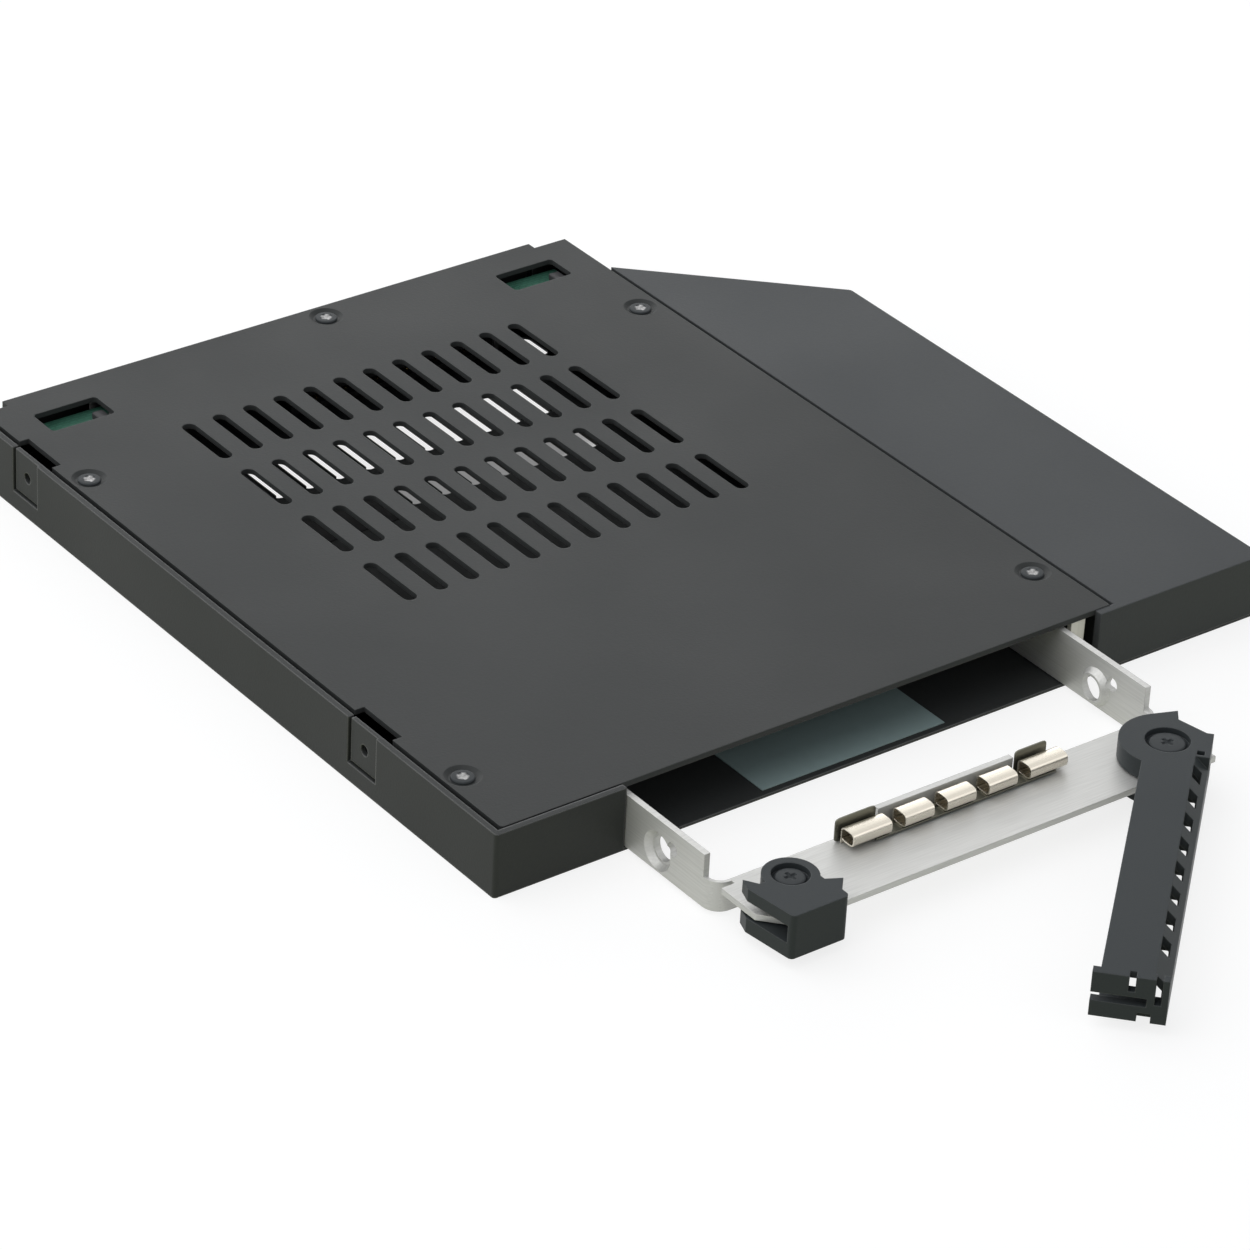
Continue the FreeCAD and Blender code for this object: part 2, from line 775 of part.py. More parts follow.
def rail(label, face, outward, front, rear):
    """Folded strip with its upright face beside the tray's arm and its foot on the floor."""
    body = new_body(label)
    back = face + d.rail_thick * outward
    foot = face + d.rail_foot * outward
    left, right = (face, back) if outward > 0 else (back, face)
    upright = sketch_on(body, f"{label}_upright", d.floor_thick)
    draw_rectangle(upright, left, front, right, rear)
    pad(body, upright, SEAT - d.rail_cover_gap - d.floor_thick)
    left, right = (face, foot) if outward > 0 else (foot, face)
    flange = sketch_on(body, f"{label}_flange", d.floor_thick)
    draw_rectangle(flange, left, front, right, rear)
    pad(body, flange, d.rail_thick)
    return in_housing(body)


def eject_strike():
    """Bracket at the mouth's right side: an upright tab, a leg going back and a foot on the floor."""
    body = new_body("eject_strike")
    left = TRAY_CENTRE + PIVOT_X + d.cam_reach + d.strike_gap
    right = left + d.strike_width
    leg_left = right - d.strike_thick
    rear = d.strike_front + d.strike_leg
    tab = sketch_on(body, "strike_tab", d.floor_thick)
    draw_rectangle(tab, left, d.strike_front, right, d.strike_front + d.strike_thick)
    pad(body, tab, SEAT - d.strike_cover_gap - d.floor_thick)
    leg = sketch_on(body, "strike_leg", d.floor_thick)
    draw_rectangle(leg, leg_left, d.strike_front, right, rear)
    pad(body, leg, d.strike_leg_top - d.floor_thick)
    foot = sketch_on(body, "strike_foot", d.floor_thick)
    draw_rectangle(foot, leg_left, rear - d.strike_leg / 2, leg_left + d.strike_foot, rear)
    pad(body, foot, d.strike_thick)
    return in_housing(body)


def backplane_pcb():
    width = d.bay_width - d.board_inset - d.board_left
    sheet = box("board_sheet", d.board_left, BOARD_FRONT, BOARD_BOTTOM, width, d.board_depth, d.board_thick)
    bore = d.screw_radius + d.screw_fit
    holes = [
        cylinder(f"board_hole_{i}", x, y, BOARD_BOTTOM, bore, d.board_thick)
        for i, (x, y) in enumerate(BOARD_SCREWS)
    ]
    return in_housing(cut("backplane_pcb", sheet, fuse("board_holes", holes)))


def board_posts():
    bore = d.screw_radius + d.screw_fit
    height = BOARD_BOTTOM - d.floor_thick
    posts = [
        tube(f"board_post_{i}", x, y, d.floor_thick, d.post_radius, bore, height)
        for i, (x, y) in enumerate(BOARD_SCREWS)
    ]
    return in_housing(group("board_posts", posts))


def board_screws():
    size = (d.board_screw_head, d.board_screw_height, d.screw_radius, d.board_screw_length)
    screws = [
        screw(f"board_screw_{i}", x, y, BOARD_TOP, *size) for i, (x, y) in enumerate(BOARD_SCREWS)
    ]
    return in_housing(group("board_screws", screws))


def blade_slots():
    """Left and right ends of the receptacle's signal and power slots."""
    left = RECEPTACLE_X - (d.signal_slot + d.slot_bridge + d.power_slot) / 2
    middle = left + d.signal_slot + d.slot_bridge
    return [(left, left + d.signal_slot), (middle, middle + d.power_slot)]


def drive_receptacle():
    """Connector under the board: a block, and a nose with a slot for each row of blades."""
    body = new_body("drive_receptacle")
    back = RECEPTACLE_FRONT + d.receptacle_depth
    mouth = RECEPTACLE_FRONT - d.nose_length
    block = sketch_on(body, "receptacle_block", d.receptacle_bottom)
    half = d.receptacle_width / 2
    draw_rectangle(block, RECEPTACLE_X - half, RECEPTACLE_FRONT, RECEPTACLE_X + half, back)
    pad(body, block, BOARD_BOTTOM - d.receptacle_bottom)
    nose = sketch_on(body, "receptacle_nose", d.nose_bottom)
    half = d.nose_width / 2
    draw_rectangle(nose, RECEPTACLE_X - half, mouth, RECEPTACLE_X + half, RECEPTACLE_FRONT)
    pad(body, nose, BOARD_BOTTOM - d.nose_board_gap - d.nose_bottom)
    slots = sketch_on(body, "receptacle_slots", d.blade_slot_bottom + d.blade_slot_height)
    for left, right in blade_slots():
        draw_rectangle(slots, left, mouth, right, mouth + d.blade_slot_depth)
    pocket(body, slots, d.blade_slot_height)
    return in_housing(body)


def contact_row(name, middle, front, bottom, length, count):
    """A row of flat contacts centred on the middle, each on its own place of the pitch."""
    total = int(count.value)
    return [
        box(
            f"{name}_{number}",
            middle + d.contact_pitch * (number - (total - 1) / 2) - d.contact_width / 2,
            front,
            bottom,
            d.contact_width,
            length,
            d.contact_thick,
        )
        for number in range(total)
    ]


def drive_contacts():
    slots = blade_slots()
    front = RECEPTACLE_FRONT - d.nose_length + d.blade_slot_depth - d.contact_length
    bottom = d.blade_slot_bottom
    rows = []
    for name, (left, right), count in zip(
        ("signal_contact", "power_contact"), slots, (d.signal_contacts, d.power_contacts)
    ):
        rows += contact_row(name, (left + right) / 2, front, bottom, d.contact_length, count)
    return in_housing(group("drive_contacts", rows))


def host_plug():
    """Slim connector at the rear edge: a shell with an open cavity round a tongue."""
    body = new_body("host_plug")
    rear = d.housing_depth - d.host_set_back
    half = d.host_width / 2
    shell = sketch_on(body, "host_shell", d.host_bottom)
    draw_rectangle(shell, HOST_X - half, rear - d.host_depth, HOST_X + half, rear)
    pad(body, shell, BOARD_BOTTOM - d.host_bottom)
    cavity = sketch_on(body, "host_cavity", BOARD_BOTTOM - d.host_wall)
    inside = half - d.host_wall
    draw_rectangle(cavity, HOST_X - inside, rear - d.host_cavity, HOST_X + inside, rear)
    pocket(body, cavity, BOARD_BOTTOM - d.host_bottom - d.host_wall * 2)
    tongue = sketch_on(body, "host_tongue", d.host_bottom + d.host_wall)
    reach = inside - d.host_wall
    draw_rectangle(tongue, HOST_X - reach, rear - d.host_cavity, HOST_X + reach, rear - d.host_wall)
    pad(body, tongue, d.host_tongue)
    return in_housing(body)


def host_contacts():
    front = d.housing_depth - d.host_set_back - d.host_cavity
    length = d.host_cavity - d.host_wall * 2
    bottom = d.host_bottom + d.host_wall + d.host_tongue
    row = contact_row("host_contact", HOST_X, front, bottom, length, d.host_contacts)
    return in_housing(group("host_contacts", row))


def floor_pad():
    left = TRAY_CENTRE + d.pad_offset - d.pad_width / 2
    sheet = box("pad_sheet", left, d.pad_front, d.floor_thick, d.pad_width, d.pad_depth, d.pad_thick)
    return in_housing(group("floor_pad", [sheet]))


# Tray

def tray_frame():
    """One folded sheet: two arms, a low front wall, a plate bent forward and an upright lip."""
    body = new_body("tray_frame")
    inner = TRAY_HALF - d.tray_sheet
    outer_bend = d.bend_radius + d.tray_sheet

    strip = sketch_on(body, "tray_strip", ARM_BOTTOM)
    draw_polygon(strip, [
        (-TRAY_HALF, ARM_REAR), (-TRAY_HALF, d.tray_front), (TRAY_HALF, d.tray_front),
        (TRAY_HALF, ARM_REAR), (inner, ARM_REAR), (inner, WALL_BACK), (-inner, WALL_BACK),
        (-inner, ARM_REAR),
    ])
    pad(body, strip, d.plate_top - ARM_BOTTOM)
    round_edges(body, outer_bend, "Z", [(-TRAY_HALF, d.tray_front), (TRAY_HALF, d.tray_front)])
    round_edges(body, d.bend_radius, "Z", [(-inner, WALL_BACK), (inner, WALL_BACK)])

    arms = sketch_on(body, "tray_arms", ARM_BOTTOM)
    draw_rectangle(arms, -TRAY_HALF, d.arm_front, -inner, ARM_REAR)
    draw_rectangle(arms, inner, d.arm_front, TRAY_HALF, ARM_REAR)
    pad(body, arms, SEAT - d.arm_cover_gap - ARM_BOTTOM)

    plate = sketch_on(body, "tray_plate", PLATE_BOTTOM)
    end = TRAY_HALF - d.plate_inset
    root = TRAY_HALF - outer_bend
    ear = d.tray_front - d.ear_relief
    draw_polygon(plate, [
        (-end, d.plate_front + d.plate_cut_y), (-end + d.plate_cut_x, d.plate_front),
        (end, d.plate_front), (end, ear), (root, ear), (root, WALL_BACK),
        (-root, WALL_BACK), (-root, ear), (-end, ear),
    ])
    draw_circle(plate, PIVOT_X, d.lever_front, d.lever_bush + d.seat_gap)
    draw_circle(plate, -PIVOT_X, d.latch_front, d.latch_bush + d.seat_gap)
    pad(body, plate, d.tray_sheet)

    lip = sketch_on(body, "tray_lip", ARM_BOTTOM)
    draw_rectangle(lip, -d.lip_width / 2, d.tray_front, d.lip_width / 2, WALL_BACK)
    pad(body, lip, LEVER_TOP - d.lip_drop - ARM_BOTTOM)
    round_edges(body, d.fold_round, "X", [(WALL_BACK, d.plate_top)])

    places = (d.drive_hole_y, d.drive_hole_y + d.drive_hole_spacing)
    boss = sketch_on(body, "tray_boss", -inner, "YZ_Plane")
    dish = sketch_on(body, "tray_dish", -TRAY_HALF, "YZ_Plane")
    hole = sketch_on(body, "tray_hole", -TRAY_HALF, "YZ_Plane")
    for y in places:
        draw_circle(boss, y, d.drive_hole_z, d.press_radius)
        draw_circle(dish, y, d.drive_hole_z, d.press_radius)
        draw_circle(hole, y, d.drive_hole_z, d.drive_hole)
        draw_circle(hole, y - d.peg_hole_ahead, d.drive_hole_z + d.peg_hole_rise, d.peg_hole)
    pressed = pad(body, boss, d.press_depth)
    bind(pressed, "TaperAngle", -d.press_taper)
    dished = pocket(body, dish, d.press_depth, along_normal=True)
    bind(dished, "TaperAngle", -d.press_taper)
    drilled = pocket(body, hole, d.tray_sheet + d.press_depth, along_normal=True)
    mirror(body, [pressed, dished, drilled])
    return in_tray(body)


def finger_strip():
    """Thin contact strip on the plate, with rolled fingers and an upright tab at each end of the lip."""
    body = new_body("finger_strip")
    half = d.strip_length / 2
    base = sketch_on(body, "strip_base", d.plate_top)
    draw_rectangle(base, -half, d.finger_front + d.finger_round, half, d.tray_front)
    pad(body, base, d.strip_thick)

    tabs = sketch_on(body, "strip_tabs", d.plate_top)
    start = d.lip_width / 2 + d.strip_tab_gap
    front = d.tray_front - d.strip_thick
    draw_rectangle(tabs, start, front, start + d.strip_tab, d.tray_front)
    draw_rectangle(tabs, -start - d.strip_tab, front, -start, d.tray_front)
    pad(body, tabs, FINGER_TOP - d.plate_top)
    tab_ends = [(end, FINGER_TOP) for end in (start + d.strip_tab, -start - d.strip_tab)]
    round_edges(body, d.strip_tab_round, "Y", tab_ends)

    inner_count = int(d.inner_fingers.value)
    free = d.strip_length - d.end_finger * 2 - d.inner_finger * inner_count
    gap = free / (inner_count + 1)
    left = -half
    for number in range(inner_count + 2):
        width = d.end_finger if number in (0, inner_count + 1) else d.inner_finger
        finger = sketch_on(body, f"strip_finger_{number}", left, "YZ_Plane")
        draw_rectangle(finger, d.finger_front, d.plate_top, d.finger_rear, FINGER_TOP)
        draw_rectangle(
            finger,
            d.finger_front + d.strip_thick,
            d.plate_top + d.strip_thick,
            d.finger_rear - d.strip_thick,
            FINGER_TOP - d.strip_thick,
        )
        pad(body, finger, width)
        left = left + width + gap
    inner_front = d.finger_front + d.strip_thick
    inner_rear = d.finger_rear - d.strip_thick
    inner_top = FINGER_TOP - d.strip_thick
    outer_corners = [(d.finger_front, FINGER_TOP), (d.finger_rear, FINGER_TOP)]
    inner_corners = [(inner_front, inner_top), (inner_rear, inner_top)]
    round_edges(body, d.finger_round, "X", outer_corners)
    round_edges(body, d.finger_round - d.strip_thick, "X", inner_corners)
    return in_tray(body)


def pivot_bush(label, x, y, radius, recess_depth):
    """Collared bush pressed into the plate, as tall as the piece that turns on it."""
    top = LEVER_TOP - recess_depth + d.head_play
    bottom = d.lever_bottom + d.plate_clearance
    stem = cylinder(f"{label}_stem", x, y, bottom, radius, top - bottom)
    collar = cylinder(
        f"{label}_collar", x, y, PLATE_BOTTOM - d.collar_thick, radius + d.collar_edge, d.collar_thick
    )
    bore = cylinder(f"{label}_bore", x, y, bottom, d.pivot_screw + d.screw_fit, top - bottom)
    return in_tray(cut(label, fuse(f"{label}_blank", [stem, collar]), bore))


def pivot_screw(label, x, y, head, recess_depth):
    seat = LEVER_TOP - recess_depth + d.head_play
    item = screw(label, x, y, seat, head, d.pivot_head_height, d.pivot_screw, d.pivot_screw_length)
    return in_tray(item)


# Lever

def draw_lever_head(sketch):
    """Plan of the head: square front corner, cam tooth on the right, round back and the arm's root."""
    flat = d.lever_front - d.lever_bevel
    tooth_y = d.hub_radius * d.cam_back_angle.sine()
    corners = [
        (-d.head_reach, -flat), (-d.head_reach, -d.lever_front), (d.head_corner, -d.lever_front),
        (d.head_corner, -d.cam_slope_y), (d.cam_step, -d.cam_step_y), (d.cam_reach, -d.cam_tip_y),
    ]
    start = math.asin(tooth_y.value / d.hub_radius.value)
    end = math.pi - math.asin(d.lever_back.value / d.hub_radius.value)
    round_back = Part.ArcOfCircle(Part.Circle(Vector(), UP, d.hub_radius.value), start, end)
    points = [Vector(x.value, y.value, 0) for x, y in corners]
    points = [round_back.EndPoint] + points + [round_back.StartPoint]
    for one, two in zip(points, points[1:]):
        sketch.addGeometry(Part.LineSegment(one, two))
    lines = len(points) - 1
    arc = sketch.addGeometry(round_back)
    for line in range(1, lines):
        sketch.addConstraint(Sketcher.Constraint("Coincident", line - 1, END, line, START))
        pin(sketch, line, START, *corners[line - 1])
    sketch.addConstraint(Sketcher.Constraint("Coincident", lines - 1, END, arc, START))
    sketch.addConstraint(Sketcher.Constraint("Coincident", arc, END, 0, START))
    sketch.addConstraint(Sketcher.Constraint("Coincident", arc, CENTRE, ORIGIN, START))
    set_radius(sketch, arc, d.hub_radius)
    for point, size in ((START, tooth_y), (END, d.lever_back)):
        number = sketch.addConstraint(
            Sketcher.Constraint("DistanceY", ORIGIN, START, arc, point, size.value)
        )
        bind(sketch, f"Constraints[{number}]", size)


def ejector_lever():
    """Channel with a bevelled, windowed front edge, a slotted head with a cam tooth, and a hooked tip."""
    body = new_body("ejector_lever")
    mitre = d.lever_wall * math.tan(math.pi / 8)
    flat = d.lever_front - d.lever_bevel
    inside = d.lever_front - d.lever_wall

    arm = sketch_on(body, "lever_arm", -LEVER_LENGTH, "YZ_Plane")
    draw_polygon(arm, [
        (d.lever_back, LEVER_TOP), (-flat, LEVER_TOP), (-d.lever_front, LEVER_TOP - d.lever_bevel),
        (-d.lever_front, d.lever_bottom), (-inside, d.lever_bottom),
        (-inside, LEVER_TOP - d.lever_bevel - mitre), (mitre - flat, LEVER_TOP - d.lever_wall),
        (d.lever_back, LEVER_TOP - d.lever_wall),
    ])
    pad(body, arm, LEVER_LENGTH - d.head_reach)

    for name, level, height in (
        ("lever_upper_cheek", SLOT_TOP, LEVER_TOP - SLOT_TOP),
        ("lever_lower_cheek", d.lever_bottom, SLOT_BOTTOM - d.lever_bottom),
    ):
        cheek = sketch_on(body, name, level)
        draw_lever_head(cheek)
        pad(body, cheek, height)

    tip = sketch_on(body, "lever_tip", d.lever_bottom)
    end = -LEVER_LENGTH
    draw_rectangle(tip, end, -d.lever_front, end + d.tip_wall, d.tip_hook)
    pad(body, tip, LEVER_TOP - d.lever_bottom)
    for name, place, level in (
        ("lever_slit_one", d.tip_slit_one, d.tip_slit_one_z),
        ("lever_slit_two", d.tip_slit_two, d.tip_slit_two_z),
    ):
        slit = sketch_on(body, name, LEVER_TOP)
        half = d.tip_slit / 2
        draw_rectangle(slit, end, -place - half, end + d.tip_wall, -place + half)
        pocket(body, slit, LEVER_TOP - level)
    gap = sketch_on(body, "lever_tip_gap", d.plate_top + d.tip_clearance)
    plate_edge = d.plate_front - d.lever_front - d.plate_clearance
    draw_rectangle(gap, end, plate_edge, end + d.tip_wall, d.tip_hook)
    pocket(body, gap, d.tray_sheet + d.tip_clearance * 2)
    web = sketch_on(body, "lever_tip_web", d.lever_bottom)
    draw_rectangle(web, end, -d.lever_front, end + d.tip_web, d.lever_back)
    pad(body, web, d.tip_web_thick)
    notch = sketch_on(body, "lever_tip_notch", d.lever_bottom + d.tip_notch_height)
    notch_end = -d.tip_notch_start - d.tip_notch_width
    draw_rectangle(notch, end, notch_end, end + d.tip_wall, -d.tip_notch_start)
    pocket(body, notch, d.tip_notch_height)

    bore = sketch_on(body, "lever_bore", LEVER_TOP)
    draw_circle(bore, ZERO, ZERO, d.lever_bush + d.bush_fit)
    pocket(body, bore, LEVER_TOP - d.lever_bottom)
    recess = sketch_on(body, "lever_recess", LEVER_TOP)
    draw_circle(recess, ZERO, ZERO, d.lever_recess)
    pocket(body, recess, d.lever_recess_depth)

    edge = d.grille_rim - d.lever_front
    spy = sketch_on(body, "lever_spy_hole", LEVER_TOP)
    draw_rectangle(spy, -d.spy_hole_x - d.spy_hole, edge, -d.spy_hole_x, edge + d.spy_hole)
    pocket(body, spy, d.spy_hole_depth)

    pitch = (LEVER_LENGTH - d.grille_first - d.grille_last) / (d.grille_count - ONE)
    grille = sketch_on(body, "lever_grille", LEVER_TOP)
    half = d.grille_length / 2
    draw_rectangle(grille, -d.grille_first - half, edge, half - d.grille_first, -flat)
    opened = pocket(body, grille, d.lever_bevel + d.lever_wall)
    rib = sketch_on(body, "lever_rib", -d.grille_first - (pitch + d.rib_thick) / 2, "YZ_Plane")
    corner = LEVER_TOP - d.lever_bevel - mitre
    draw_polygon(rib, [
        (-inside, corner - d.rib_drop), (d.rib_reach - inside, corner - d.rib_drop),
        (d.rib_reach - inside, LEVER_TOP - d.lever_wall), (mitre - flat, LEVER_TOP - d.lever_wall),
        (-inside, corner),
    ])
    ribbed = pad(body, rib, d.rib_thick)
    repeat(body, [opened, ribbed], grille, pitch, d.grille_count, backwards=True)

    in_tray(body, PIVOT_X, d.lever_front)
    body.Placement.Rotation = FreeCAD.Rotation(UP, d.lever_open.value)
    bind(body, "Placement.Rotation.Angle", d.lever_open)
    return body


# Latch

def latch_outline():
    """Plan of both jaws, with a catch on the right and a hook on the left."""
    return [
        (-d.latch_left, -d.latch_front), (d.latch_right, -d.latch_front), (d.latch_right, -d.catch_root_y),
        (d.catch_reach, -d.catch_y), (d.latch_neck, -d.latch_neck_y), (d.latch_neck, ZERO),
        (-d.hook_notch, d.hook_notch_y), (-d.hook_back, d.hook_back_y), (-d.hook_reach, d.hook_y),
    ]


def latch_block():
    """Two jaws round the plate, joined by a spine at the front, with a pocket for the spring."""
    body = new_body("latch_block")
    spine = sketch_on(body, "latch_spine", d.lever_bottom)
    lean = (d.hook_reach - d.latch_left) * d.latch_spine / (d.latch_front + d.hook_y)
    inside = d.latch_spine - d.latch_front
    draw_polygon(spine, [
        (-d.latch_left, -d.latch_front), (d.latch_right, -d.latch_front), (d.latch_right, inside),
        (-d.latch_left - lean, inside),
    ])
    pad(body, spine, LEVER_TOP - d.lever_bottom)
    for name, level, top in (
        ("latch_lower_jaw", d.lever_bottom, SLOT_BOTTOM),
        ("latch_upper_jaw", LEVER_TOP - d.latch_jaw, LEVER_TOP),
    ):
        jaw = sketch_on(body, name, level)
        draw_polygon(jaw, latch_outline())
        pad(body, jaw, top - level)
    for name, level, top in (
        ("latch_lower_hub", d.lever_bottom, SLOT_BOTTOM),
        ("latch_upper_hub", SLOT_TOP, LEVER_TOP),
    ):
        hub = sketch_on(body, name, level)
        draw_circle(hub, ZERO, ZERO, d.latch_hub)
        pad(body, hub, top - level)
    front_corners = [(-d.latch_left, -d.latch_front), (d.latch_right, -d.latch_front)]
    round_edges(body, d.latch_round, "Z", front_corners)

    bore = sketch_on(body, "latch_bore", LEVER_TOP)
    draw_circle(bore, ZERO, ZERO, d.latch_bush + d.bush_fit)
    pocket(body, bore, LEVER_TOP - d.lever_bottom)
    recess = sketch_on(body, "latch_recess", LEVER_TOP)
    draw_circle(recess, ZERO, ZERO, d.latch_recess)
    pocket(body, recess, d.latch_recess_depth)
    room = sketch_on(body, "latch_spring_room", SLOT_BOTTOM)
    draw_circle(room, ZERO, ZERO, d.spring_radius + d.spring_wire / 2 + d.spring_room)
    pocket(body, room, d.spring_pitch * d.spring_turns + d.spring_wire + d.bush_fit)
    return in_tray(body, -PIVOT_X, d.latch_front)


def latch_spring():
    """Coil that lies round the latch's bush, in the lower jaw's pocket."""
    body = new_body("latch_spring")
    wire = sketch_on(body, "spring_wire_section", ZERO, "XZ_Plane")
    height = d.spring_pitch * d.spring_turns
    bottom = SLOT_BOTTOM - height - d.spring_wire
    half = d.spring_wire / 2
    draw_rectangle(wire, d.spring_radius - half, bottom, d.spring_radius + half, bottom + d.spring_wire)
    coil = body.newObject("PartDesign::AdditiveHelix", "spring_coil")
    coil.Profile = wire
    coil.ReferenceAxis = (wire, ["V_Axis"])
    coil.Mode = "pitch-turns-angle"
    bind(coil, "Pitch", d.spring_pitch)
    bind(coil, "Turns", d.spring_turns)
    return in_tray(body, -PIVOT_X, d.latch_front)


def build():
    left_face = TRAY_LEFT - d.rail_gap
    right_face = TRAY_RIGHT + d.rail_gap
    beside_post = d.post_radius + d.post_gap
    return [
        bottom_case(),
        top_cover(),
        wing_shell(),
        cover_screws(),
        cover_posts(),
        rail("left_rail", left_face, -1, d.rail_front, BOARD_FRONT - d.rail_board_gap),
        rail("right_rail", right_face, 1, d.screw_front + beside_post, SCREW_BACK - beside_post),
        eject_strike(),
        backplane_pcb(),
        board_posts(),
        board_screws(),
        drive_receptacle(),
        drive_contacts(),
        host_plug(),
        host_contacts(),
        floor_pad(),
        tray_frame(),
        finger_strip(),
        pivot_bush("lever_bush", PIVOT_X, d.lever_front, d.lever_bush, d.lever_recess_depth),
        pivot_screw("lever_screw", PIVOT_X, d.lever_front, d.lever_screw_head, d.lever_recess_depth),
        pivot_bush("latch_bush", -PIVOT_X, d.latch_front, d.latch_bush, d.latch_recess_depth),
        pivot_screw("latch_screw", -PIVOT_X, d.latch_front, d.latch_screw_head, d.latch_recess_depth),
        ejector_lever(),
        latch_block(),
        latch_spring(),
    ]


def check_and_write(nodes):
    """Stop on any failed object or shape, then write one STEP file for each sub-part."""
    doc.recompute()
    failed = [
        f"{item.Label} ({item.getStatusString()})"
        for item in doc.Objects
        if {"Invalid", "Error"} & set(item.State)
    ]
    unsound = [node.Label for node in nodes if node.Shape.isNull() or not node.Shape.isValid()]
    if failed or unsound:
        raise RuntimeError(f"failed objects: {failed}; unsound shapes: {unsound}")
    os.makedirs("parts", exist_ok=True)
    for node in nodes:
        node.Shape.exportStep(f"parts/{node.Label}.step")
        print(f"{node.Label}: {len(node.Shape.Solids)} solids, {node.Shape.Volume:.2f} mm3")


check_and_write(build())
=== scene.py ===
import json
import math

import bmesh
import bpy
import numpy as np
from mathutils import Matrix, Vector


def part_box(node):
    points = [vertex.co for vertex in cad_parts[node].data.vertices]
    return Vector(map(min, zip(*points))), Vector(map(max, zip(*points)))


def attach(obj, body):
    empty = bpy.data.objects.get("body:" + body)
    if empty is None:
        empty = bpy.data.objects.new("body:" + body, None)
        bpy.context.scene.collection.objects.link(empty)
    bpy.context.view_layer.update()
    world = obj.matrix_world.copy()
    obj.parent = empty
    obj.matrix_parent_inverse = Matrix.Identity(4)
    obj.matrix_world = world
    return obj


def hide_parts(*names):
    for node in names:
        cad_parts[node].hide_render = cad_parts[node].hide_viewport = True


bl_info = {
    "name": "Drive Caddy Looks",
    "version": (1, 0, 0),
    "blender": (4, 5, 0),
    "location": "View3D > Sidebar > Caddy",
    "description": "Finishes and small pieces for a laptop drive caddy, and the stage it is shown on",
    "category": "Object",
}

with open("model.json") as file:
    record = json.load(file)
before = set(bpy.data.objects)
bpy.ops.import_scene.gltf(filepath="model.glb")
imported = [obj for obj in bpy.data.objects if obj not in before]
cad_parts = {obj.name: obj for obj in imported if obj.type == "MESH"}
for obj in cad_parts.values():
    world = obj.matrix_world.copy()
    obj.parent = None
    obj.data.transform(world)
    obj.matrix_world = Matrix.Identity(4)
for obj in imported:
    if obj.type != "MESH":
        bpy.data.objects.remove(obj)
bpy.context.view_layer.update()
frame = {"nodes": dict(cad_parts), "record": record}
NODES = frame["nodes"]
MM = 0.001


# Places and sizes that the CAD pieces give, in millimetres

COVER_PLACES = [(-59.6, -49.8), (34.3, -49.8), (-59.6, 38.6), (34.3, 38.6), (-6.1, 60.2)]
BOARD_PLACES = [(-44.6, 54.4), (19.6, 54.4)]
SHANK = 0.9
# Node, places, seat, head radius, head height, shank length, body, slot, and the strength of the bright metal
# disc on the head's middle, which is partly driver wear and partly a painted glint
SCREWS = [
    ("cover_screws", COVER_PLACES, 9.1, 1.6, 0.36, 4.0, "housing", "screw_black", 1.0),
    ("board_screws", BOARD_PLACES, 7.4, 1.8, 0.7, 5.0, "housing", "post_steel", 0.0),
    ("lever_screw", [(23.275, -90.05)], 7.25, 2.5, 0.55, 5.0, "tray", "screw_black", 0.0),
    ("latch_screw", [(-37.025, -88.1)], 7.25, 2.05, 0.55, 5.0, "tray", "screw_black", 0.0),
]
CONTACT_PITCH, CONTACT_WIDTH = 1.27, 0.6
# Node, number of contacts in each of its rows, bridge between the rows, share of the bow
CONTACT_ROWS = [("drive_contacts", (7, 15), 4.2, 1.0), ("host_contacts", (13,), 0.0, 0.4)]
FINGER_DEPTH = 2.7
FLOOR_TOP = 0.4
VENT_COLUMNS, VENT_HALF = -41.5 + 5.05 * np.arange(12), 1.05
# Middle, length and first open column of each row of floor vents
VENT_ROWS = [(38.75, 11.0, 0), (25.6, 7.6, 5)]


# Places and shapes of the pieces made here, in millimetres

# Middle, width, depth and height of each moulded part on the board
BOARD_PARTS = [
    (-47.8, 54.0, 1.8, 3.2, 1.1), (31.0, 54.0, 1.8, 3.2, 1.1), (-54.6, 53.0, 2.0, 1.2, 0.6),
    (-51.4, 53.0, 2.0, 1.2, 0.6), (24.4, 53.0, 2.0, 1.2, 0.6), (27.4, 53.0, 1.6, 0.8, 0.5),
    (-36.0, 53.6, 5.0, 4.0, 0.9), (-28.5, 53.0, 1.6, 0.8, 0.5), (-24.0, 53.0, 1.6, 0.8, 0.5),
    (-12.0, 54.0, 6.0, 5.0, 1.0), (-2.0, 53.0, 1.6, 0.8, 0.5), (3.0, 54.0, 3.0, 3.0, 0.9),
]
# How far round a finger rolls, and the power of the superellipse that it follows
CURL, CURL_POWER = math.radians(315.0), 3.5
# How far the strip's base stops short at its left, right and front
BASE_ENDS, BASE_FRONT = (4.0, 1.6), 0.3
# Where the base's joggle starts, from its rear edge, and how long it is
JOGGLE_START, JOGGLE_RUN = 0.8, 0.6
TAB_SPANS, TAB_TOP, TAB_EDGE = [(-25.1, -18.6), (4.3, 9.6)], 8.45, 0.05
SPRING_TURNS = 3
# How far a vent's lip stops short of each end, as a share of the vent's half width
LIP_SHORT = 0.35
# Lowest and highest corner of the tape over the closed vents
TAPE = [(-43.2, 19.6), (-18.8, 31.2)]
# Least distance between faces that would otherwise share a plane
HAIR = 0.01
# Powers of the superellipses that blocks, lips, contacts and the tape have for an outline
BLOCK_POWER, LIP_POWER, CONTACT_POWER, TAPE_POWER = 9.0, 6.0, 5.0, 20.0
